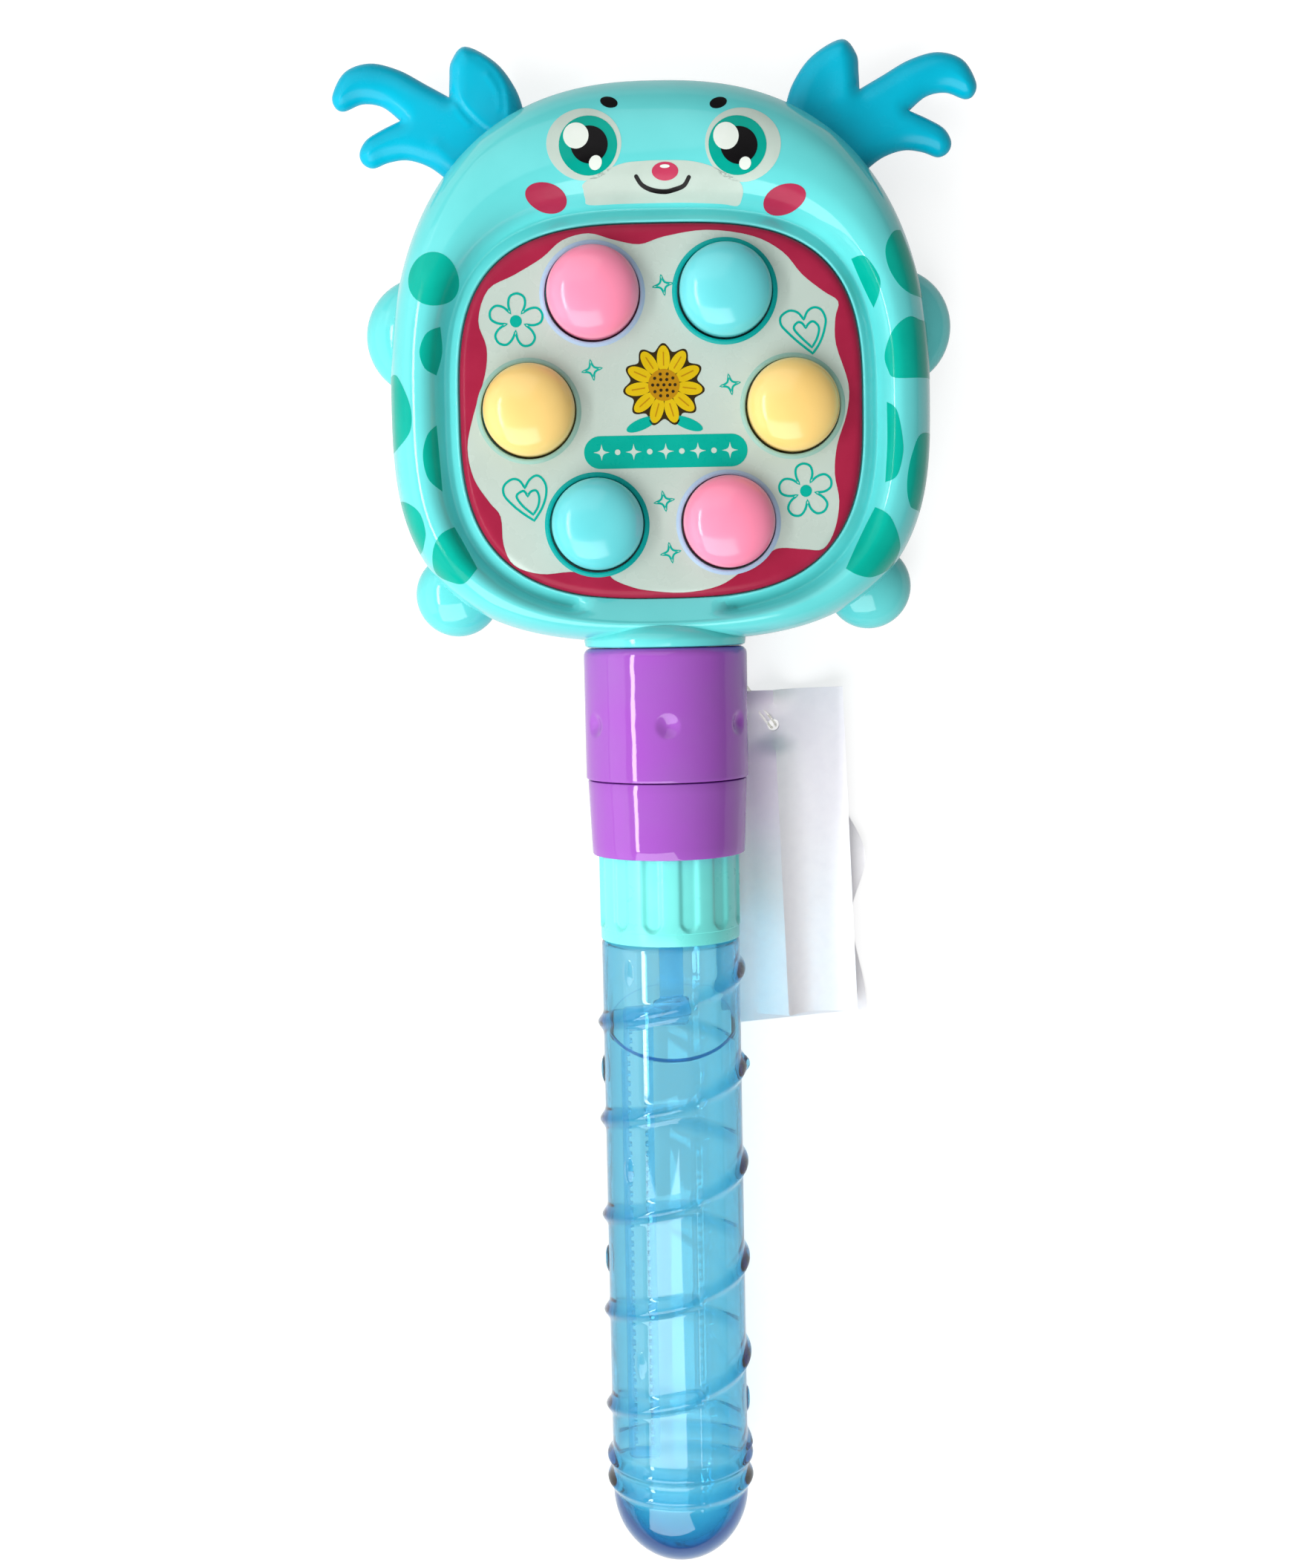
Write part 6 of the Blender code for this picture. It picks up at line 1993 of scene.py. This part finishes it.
@dataclass
class BubbleCap:
    """Ribbed screw cap and its seal."""

    top_y: float = 5.0
    bottom_y: float = -32.9
    crest: float = 19.65
    valley: float = 18.8
    band_radius: float = 19.45
    band_height: float = 3.6
    bore: float = 17.0
    floor_y: float = -14.5
    floor_thickness: float = 2.0
    ribs: int = 12
    rib_half: float = 0.27
    rib_softness: float = 0.05
    rib_arch: float = 1.6
    rib_rise: float = 1.1
    foot_rows: float = 3.2

    def ribbed(self, radius: float, y: float, angle: float) -> float:
        """Pulls the outside in between the ribs, above the plain band."""
        if radius < self.valley:
            return radius
        phase = (angle * self.ribs / (2.0 * pi) + 0.5) % 1.0
        away = abs(phase - 0.5)
        land = 0.5 - 0.5 * math.tanh((away - self.rib_half) / self.rib_softness)
        across = min(1.0, max(0.0, (0.5 - away) / (0.5 - self.rib_half)))
        start = self.bottom_y + self.band_height + self.rib_arch * across * across
        fade = min(1.0, max(0.0, (y - start) / self.rib_rise))
        return radius - (self.crest - self.valley) * (1.0 - land) * fade

    def build(self) -> None:
        """Makes the cap and its seal."""
        top, low, r, band, rise = self.top_y, self.bottom_y, self.crest, self.band_radius, self.foot_rows
        band_top = low + self.band_height
        profile = [(band - 0.4, low), (band - 0.1, low + 0.1), (band, low + 0.4), (band, band_top - 0.2)]
        profile += [(r, band_top + rise * k / 16) for k in range(17)]
        profile += [(r, band_top + rise + (top - 0.8 - band_top - rise) * k / 12) for k in range(1, 13)]
        bore, floor, plug = self.bore, self.floor_y, 5.3
        roof = floor + self.floor_thickness
        profile += [(r - 0.9, top), (bore, top), (bore, roof), (plug, roof), (plug, floor), (bore, floor),
                    (bore, low)]
        form = turned_on_stick(profile, 360, self.ribbed)
        fit(form.piece("screw_cap", AQUA, 40.0), "bubble_stick", "cap_aqua", "tube_cap")
        high = floor - GAP
        seal = [(12.2, high), (15.8, high), (16.0, high - 0.2), (16.0, high - 1.0), (15.8, high - 1.2),
                (12.2, high - 1.2)]
        fit(turned_on_stick(seal, 96).piece("seal_washer", RUBBER_GREY, 40.0), "seal", "rubber_grey",
            "cap_seal")


@dataclass
class BubbleWand:
    """Wand: plug in the cap, stem, cross piece and a long toothed frame to one side."""

    stem_radius: float = 3.4
    stem_end_y: float = -51.0
    frame_x: float = -9.6
    frame_width: float = 8.4
    frame_top_y: float = -58.0
    frame_end_y: float = -184.0
    rail: float = 1.6
    tooth: float = 0.8
    teeth: int = 42
    thickness: float = 2.4
    plug_y: float = -14.5

    def build(self) -> None:
        """Makes the wand."""
        top, r, end = self.plug_y, self.stem_radius, self.stem_end_y
        item = turned_on_stick((
            (0.0, top + 4.5), (4.4, top + 4.5), (5.0, top + 3.9), (5.0, top - GAP), (11.7, top - GAP),
            (11.7, top - 1.8), (r + 0.6, top - 1.8), (r, top - 2.6), (r, end + 0.6), (r + 0.5, end),
            (4.8, end - 0.4), (5.2, end - 0.9), (5.2, end - 3.6), (4.8, end - 4.0), (0.0, end - 4.0)),
            64).tool("wand_frame")
        half, reach = self.thickness / 2.0, self.frame_width / 2.0
        start, end_y = self.frame_top_y, self.frame_end_y
        left, right, swell = self.frame_x - reach, self.frame_x + reach, half + 0.6
        cross = rounded_block((left, start, STICK_Z - swell), (4.6, end - 2.5, STICK_Z + swell), 1.2)
        plate = rounded_block((left, end_y, STICK_Z - half), (right, start + 2.0, STICK_Z + half), 1.6)
        low, high = end_y + self.rail + 1.0, start - self.rail
        pitch = (high - low) / self.teeth
        wide = reach - self.rail
        narrow = wide - self.tooth
        edge = []
        for tooth in range(self.teeth):
            y = low + tooth * pitch
            edge += [(wide, y), (wide, y + pitch * 0.55), (narrow, y + pitch * 0.62),
                     (narrow, y + pitch * 0.93)]
        edge.append((wide, high))
        outline = [(self.frame_x + w, y) for w, y in edge]
        outline += [(self.frame_x - w, y) for w, y in reversed(edge)]
        carve(item, "UNION", cross.tool("cross"), plate.tool("plate"))
        carve(item, "DIFFERENCE", prism(outline, STICK_Z - 6.0, STICK_Z + 6.0).tool("slot"))
        finish_carved(item, WAND_BLUE, 35.0, "bubble_stick", "wand_blue", "bubble_wand")


@dataclass
class BubbleTube:
    """Clear tube with a helical rib, two end rings and a round end, and the liquid in it."""

    radius: float = 19.4
    wall: float = 1.5
    neck_radius: float = 16.2
    neck_wall: float = 1.7
    shoulder_y: float = -33.2
    bottom_y: float = -213.6
    mouth_y: float = -16.3
    rib_pitch: float = 27.8
    rib_height: float = 1.6
    rib_half_width: float = 3.4
    rib_left_y: float = -56.9
    rib_start: float = 0.36
    rib_fade: float = 0.10
    rib_end_y: float = -177.0
    end_rings: tuple[float, ...] = (-182.9, -189.4)
    end_ring_half: float = 3.0
    dome_y: float = -193.0
    dome_extra: float = 3.2
    sides: int = 232
    step: float = 0.6
    seam_turn: float = 0.052
    seam_step: float = 1.3
    seam_height: float = 0.3
    seam_half: float = 0.6
    nubs: tuple[Place, ...] = ((-0.108, -40.4, 1.3), (-0.117, -95.8, 1.3), (-0.096, -151.1, 1.3),
                               (-0.25, -70.4, 1.7), (-0.25, -125.4, 1.7), (0.25, -70.2, 1.9),
                               (0.25, -167.5, 1.7))
    nub_length: float = 7.6
    nub_height: float = 0.9
    level_y: float = -57.8
    level_slope: float = -0.42
    level_rise: float = 0.6
    clearance: float = 0.08

    def bulge(self, distance: float, half_width: float) -> float:
        """Height of a rounded rib at a distance from its middle, from 1 down to 0."""
        share = abs(distance) / half_width
        return cos(pi / 2.0 * share) ** 2 if share < 1.0 else 0.0

    def rib(self, turn: float, y: float) -> float:
        """Height of the ribs at a place; turn is in revolutions, 0 at the front and 0.25 at the right."""
        rib_y = self.rib_left_y + self.rib_pitch * (turn + 0.25)
        if turn > self.seam_turn or turn < self.seam_turn - 0.5:
            rib_y += self.seam_step
        laps = round((rib_y - y) / self.rib_pitch)
        grown = (laps - turn + self.rib_start) / self.rib_fade
        height = self.bulge(y - (rib_y - laps * self.rib_pitch), self.rib_half_width)
        height *= min(1.0, max(0.0, grown))
        if y < self.rib_end_y - self.rib_half_width:
            height = 0.0
        for ring_y in self.end_rings:
            height = max(height, self.bulge(y - ring_y, self.end_ring_half))
        return self.rib_height * height

    def levels(self) -> list[float]:
        """Heights of the rings along the straight wall, from the top."""
        top = self.shoulder_y - 1.2
        count = round((top - self.dome_y) / self.step)
        return [top + (self.dome_y - top) * k / count for k in range(count + 1)]

    def turns(self) -> list[float]:
        """Places round the tube in revolutions, 0 at the front and 0.25 at the right."""
        return [i / self.sides - 0.5 for i in range(self.sides)]

    def skin(self, form: Form, levels: list[float]) -> list[list[int]]:
        """Adds the outside's rings, which follow the ribs, at some heights.

        Args:
            form: The form that takes them.
            levels: Heights of the rings.

        Returns:
            The numbers of each ring's points.
        """
        rows = []
        for y in levels:
            ring = []
            for turn in self.turns():
                radius = self.radius + self.rib(turn, y) + self.marks(turn, y)
                ring.append(on_stick(radius, y, 2.0 * pi * turn))
            rows.append(form.ring(ring))
        return rows

    def marks(self, turn: float, y: float) -> float:
        """Height of the mould's seam and of the oval nubs at a place on the outside."""
        girth = 2.0 * pi * self.radius
        away = min(abs(turn - self.seam_turn), abs(turn - self.seam_turn + 0.5)) * girth
        height = self.seam_height * math.exp(-((away / self.seam_half) ** 2))
        for nub_turn, nub_y, half_width in self.nubs:
            across = (turn - nub_turn) * girth / half_width
            along = (y - nub_y) / (self.nub_length / 2.0)
            reach = across * across + along * along
            if reach < 1.0:
                height = max(height, self.nub_height * math.sqrt(1.0 - reach))
        return height

    def hoop(self, form: Form, radius: float, y: float) -> list[int]:
        """Adds one plain ring."""
        return form.ring([on_stick(radius, y, 2.0 * pi * turn) for turn in self.turns()])

    def dome(self, form: Form, radius: float, depth: float, thicker: float = 0.0) -> list[list[int]]:
        """Adds the rings of the round end; an inner side can leave the wall thicker there."""
        steps = 16
        rows = []
        for k in range(1, steps):
            t = pi / 2.0 * k / steps
            across = (radius - thicker * math.sqrt(sin(t))) * cos(t)
            rows.append(self.hoop(form, across, self.dome_y - (depth - thicker) * sin(t)))
        return rows

    def shell(self) -> None:
        """Makes the tube."""
        form = Form()
        depth = self.dome_y - self.bottom_y
        levels = self.levels()
        bore = self.radius - self.wall
        outer = self.skin(form, levels) + self.dome(form, self.radius, depth)
        form.bands(outer)
        form.fan(outer[-1], (0.0, self.bottom_y, STICK_Z))
        shoulder, mouth, wide, neck = self.shoulder_y, self.mouth_y, self.radius, self.neck_radius
        neck_bore = neck - self.neck_wall
        top = [self.hoop(form, r, y) for r, y in (
            (wide - 0.15, shoulder - 0.5), (wide - 0.7, shoulder), (neck, shoulder), (neck, mouth - 0.3),
            (neck - 0.3, mouth), (neck_bore + 0.3, mouth), (neck_bore, mouth - 0.3),
            (neck_bore, shoulder - 0.5), (neck_bore + 0.5, shoulder - 1.0), (bore - 0.5, shoulder - 1.3),
            (bore, shoulder - 1.8))]
        inner = [self.hoop(form, bore, y) for y in levels if y < shoulder - 2.4]
        inner += self.dome(form, bore, depth - self.wall, self.dome_extra)
        form.bands([outer[0], *top, *inner])
        form.fan(inner[-1], (0.0, self.bottom_y + self.wall + self.dome_extra, STICK_Z))
        fit(form.piece("clear_tube", TUBE_BLUE, 60.0), "tube", "clear_blue", "bubble_tube")

    def liquid(self) -> None:
        """Makes the bubble liquid, whose level leans as the tube does."""
        form = Form()
        bore = self.radius - self.wall - self.clearance
        depth = self.dome_y - self.bottom_y - self.wall - self.clearance
        rows = 150
        grid = []
        for k in range(rows + 1):
            ring = []
            for turn in self.turns():
                angle = 2.0 * pi * turn
                top = self.level_y + self.level_slope * bore * cos(angle)
                ring.append(on_stick(bore, top + (self.dome_y - top) * k / rows, angle))
            grid.append(form.ring(ring))
        low = self.dome(form, bore, depth, self.dome_extra)
        form.bands([*grid, *low])
        form.fan(low[-1], (0.0, self.dome_y - depth + self.dome_extra, STICK_Z))
        form.fan(grid[0], (0.0, self.level_y, STICK_Z))
        fit(form.piece("bubble_liquid", LIQUID, 60.0), "tube", "clear_blue")
        self.painted_meniscus_shade(bore)

    def painted_meniscus_shade(self, bore: float) -> None:
        """Makes a painted shade at the liquid's edge: a dark ring against the wall, thickest at the front,
        that stands in for the dark line that light makes at the liquid's level.
        """
        form = Form()
        thick, thinnest, sides = 0.6, 0.2, 10
        grid = []
        for turn in self.turns():
            angle = 2.0 * pi * turn
            top = self.level_y + self.level_rise + self.level_slope * bore * cos(angle)
            half = thick * (thinnest + (1.0 - thinnest) * (0.5 + 0.5 * cos(angle)) ** 2)
            grid.append(form.ring([
                on_stick(bore - half + half * cos(roll), top + half * 0.9 * sin(roll), angle)
                for roll in around(sides)]))
        form.bands([*grid, grid[0]])
        fit(form.piece("liquid_edge_painted_shade", MENISCUS_PAINTED_SHADE, 60.0), "tube", "clear_blue")

    def build(self) -> None:
        """Makes the tube and its liquid."""
        self.shell()
        self.liquid()


@dataclass
class Leaflet:
    """Folded leaflet and its loose sheet, punched for the string."""

    hole: Point = (31.2, 24.9)
    hole_radius: float = 1.7
    height: float = 94.5
    above: float = 10.3
    left: float = 19.5
    right: float = 20.0
    fold_height: float = 6.4
    fold_foot: float = 8.6
    loose_right: float = 17.2
    waves: tuple[Place, ...] = ((-40.0, 19.0, 5.4), (-82.0, 20.0, 1.8))
    pages: int = 3
    page_step: float = 0.22
    lean: float = 2.0
    loose_lean: float = 5.0
    tied_half: float = 2.4
    tied_fade: float = 6.5
    tied_share: float = 0.12
    fold_run: float = 9.0
    edge_lift: float = 6.0
    wave_lift: float = 0.6

    def sheet(self, lean: float, above: float, low_z: float, thickness: float, right: float,
              lift: Callable[[float, float], float],
              shift: Callable[[float, float], float] | None = None) -> Form:
        """One paper sheet with a hole.

        Args:
            lean: Degrees that it leans about its hole.
            above: How far it reaches above the hole.
            low_z: Height of its underside where it lies flat.
            thickness: The paper's thickness.
            right: How far it reaches to the right of the hole.
            lift: Height of the sheet at a place, from how far across and up it is from the hole.
            shift: How far the sheet bulges to the right at a place.

        Returns:
            The sheet.
        """
        low = above - self.height
        corners = [(-self.left, low), (right, low), (right, above), (-self.left, above)]
        steps = 30
        edge = []
        for (ax, ay), (bx, by) in zip(corners, [*corners[1:], corners[0]]):
            edge += [(ax + (bx - ax) * k / steps, ay + (by - ay) * k / steps) for k in range(steps)]
        places, triangles = Region([edge], [circle(self.hole_radius, (0.0, 0.0), 32)]).triangles(
            grid_lines(corners[0], corners[2], 1.5))
        turn = radians(lean)
        c, s = cos(turn), sin(turn)
        form = Form()
        tops, backs = [], []
        for across, up in places:
            z = low_z + lift(across, up)
            wide = across + (shift(across, up) if shift else 0.0)
            x, y = self.hole[0] + wide * c - up * s, self.hole[1] + wide * s + up * c
            tops.append((x, y, z + thickness))
            backs.append((x, y, z))
        form.sheet(tops, backs, triangles)
        return form

    def cover_lift(self, across: float, up: float) -> float:
        """The cover slopes up from the stick to a fold, and rises again towards its right edge."""
        clear = min(1.0, max(0.0, (abs(up) - self.tied_half) / self.tied_fade))
        open_share = clear * clear * (3.0 - 2.0 * clear)
        fold = self.fold_height * (self.tied_share + (1.0 - self.tied_share) * open_share)
        if across < 0.0:
            return fold * max(0.0, 1.0 + across / self.fold_foot)
        rise = self.edge_lift * (across / self.right) ** 2
        return fold * max(0.0, 1.0 - across / self.fold_run) ** 2 + rise

    def loose_shift(self, across: float, up: float) -> float:
        """How far the loose sheet waves out at a place."""
        return self.wave(up) * max(0.0, across / self.loose_right) ** 2

    def loose_lift(self, across: float, up: float) -> float:
        """How high the loose sheet waves up at a place."""
        return self.wave_lift * self.loose_shift(across, up)

    def wave(self, up: float) -> float:
        """How far the loose sheet's right edge waves out."""
        return sum(reach * self.bump((up - middle) / half) for middle, half, reach in self.waves)

    @staticmethod
    def bump(share: float) -> float:
        """A smooth hump, 1 at 0 and 0 from 1 on."""
        return 0.5 + 0.5 * cos(pi * share) if abs(share) < 1.0 else 0.0

    def build(self) -> None:
        """Makes the cover's pages and the loose sheet."""
        pages = Form()
        for number in range(self.pages):
            under = self.pages - 1 - number
            pages.add(self.sheet(
                lean=self.lean + 0.15 * under, above=self.above - 0.2 * under,
                low_z=0.8 + self.page_step * number, thickness=0.12, right=self.right - 0.3 * under,
                lift=self.cover_lift))
        fit(pages.piece("leaflet_pages", PAPER_WHITE, 40.0), "leaflet", "paper_white", "leaflet_cover")
        loose = self.sheet(lean=self.loose_lean, above=self.above - 2.0, low_z=0.15, thickness=0.15,
                           right=self.loose_right, lift=self.loose_lift, shift=self.loose_shift)
        fit(loose.piece("loose_sheet", PAPER_WHITE, 40.0), "leaflet", "paper_white", "leaflet_insert")


class InnerPieces:
    """The pieces inside the head, which keep their own solids."""

    finishes: tuple[tuple[str, Moulded | Metal], ...] = (
        ("dome_", RUBBER_GREY), ("led_", LED_CLEAR), ("circuit_board", BOARD_GREEN),
        ("battery_contact", STEEL))

    def build(self) -> None:
        """Dresses each node by the start of its name."""
        for name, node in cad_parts.items():
            for start, finish in self.finishes:
                if name.startswith(start):
                    node.data.materials.clear()
                    node.data.materials.append(finish.material())
                    LOG.info("%s keeps its solid", name)


def main() -> None:
    """Builds the stage and every sub-assembly, and reports each piece."""
    logging.basicConfig(level=logging.INFO, format="%(name)s: %(message)s")
    studio = Studio()
    studio.camera()
    NeckString().build()
    studio.build()
    case = HeadCase()
    surface = case.build()
    BackFittings().build([case.screw_place(angle) for angle in case.screw_angles])
    GamePanel().build()
    FacePrint().build(surface)
    for spec in BUTTONS:
        PushButton(spec).build()
    for side in Side:
        Antler(side).build()
    Collars().build()
    BubbleCap().build()
    BubbleWand().build()
    BubbleTube().build()
    Leaflet().build()
    InnerPieces().build()


if __name__ == "__main__":
    main()
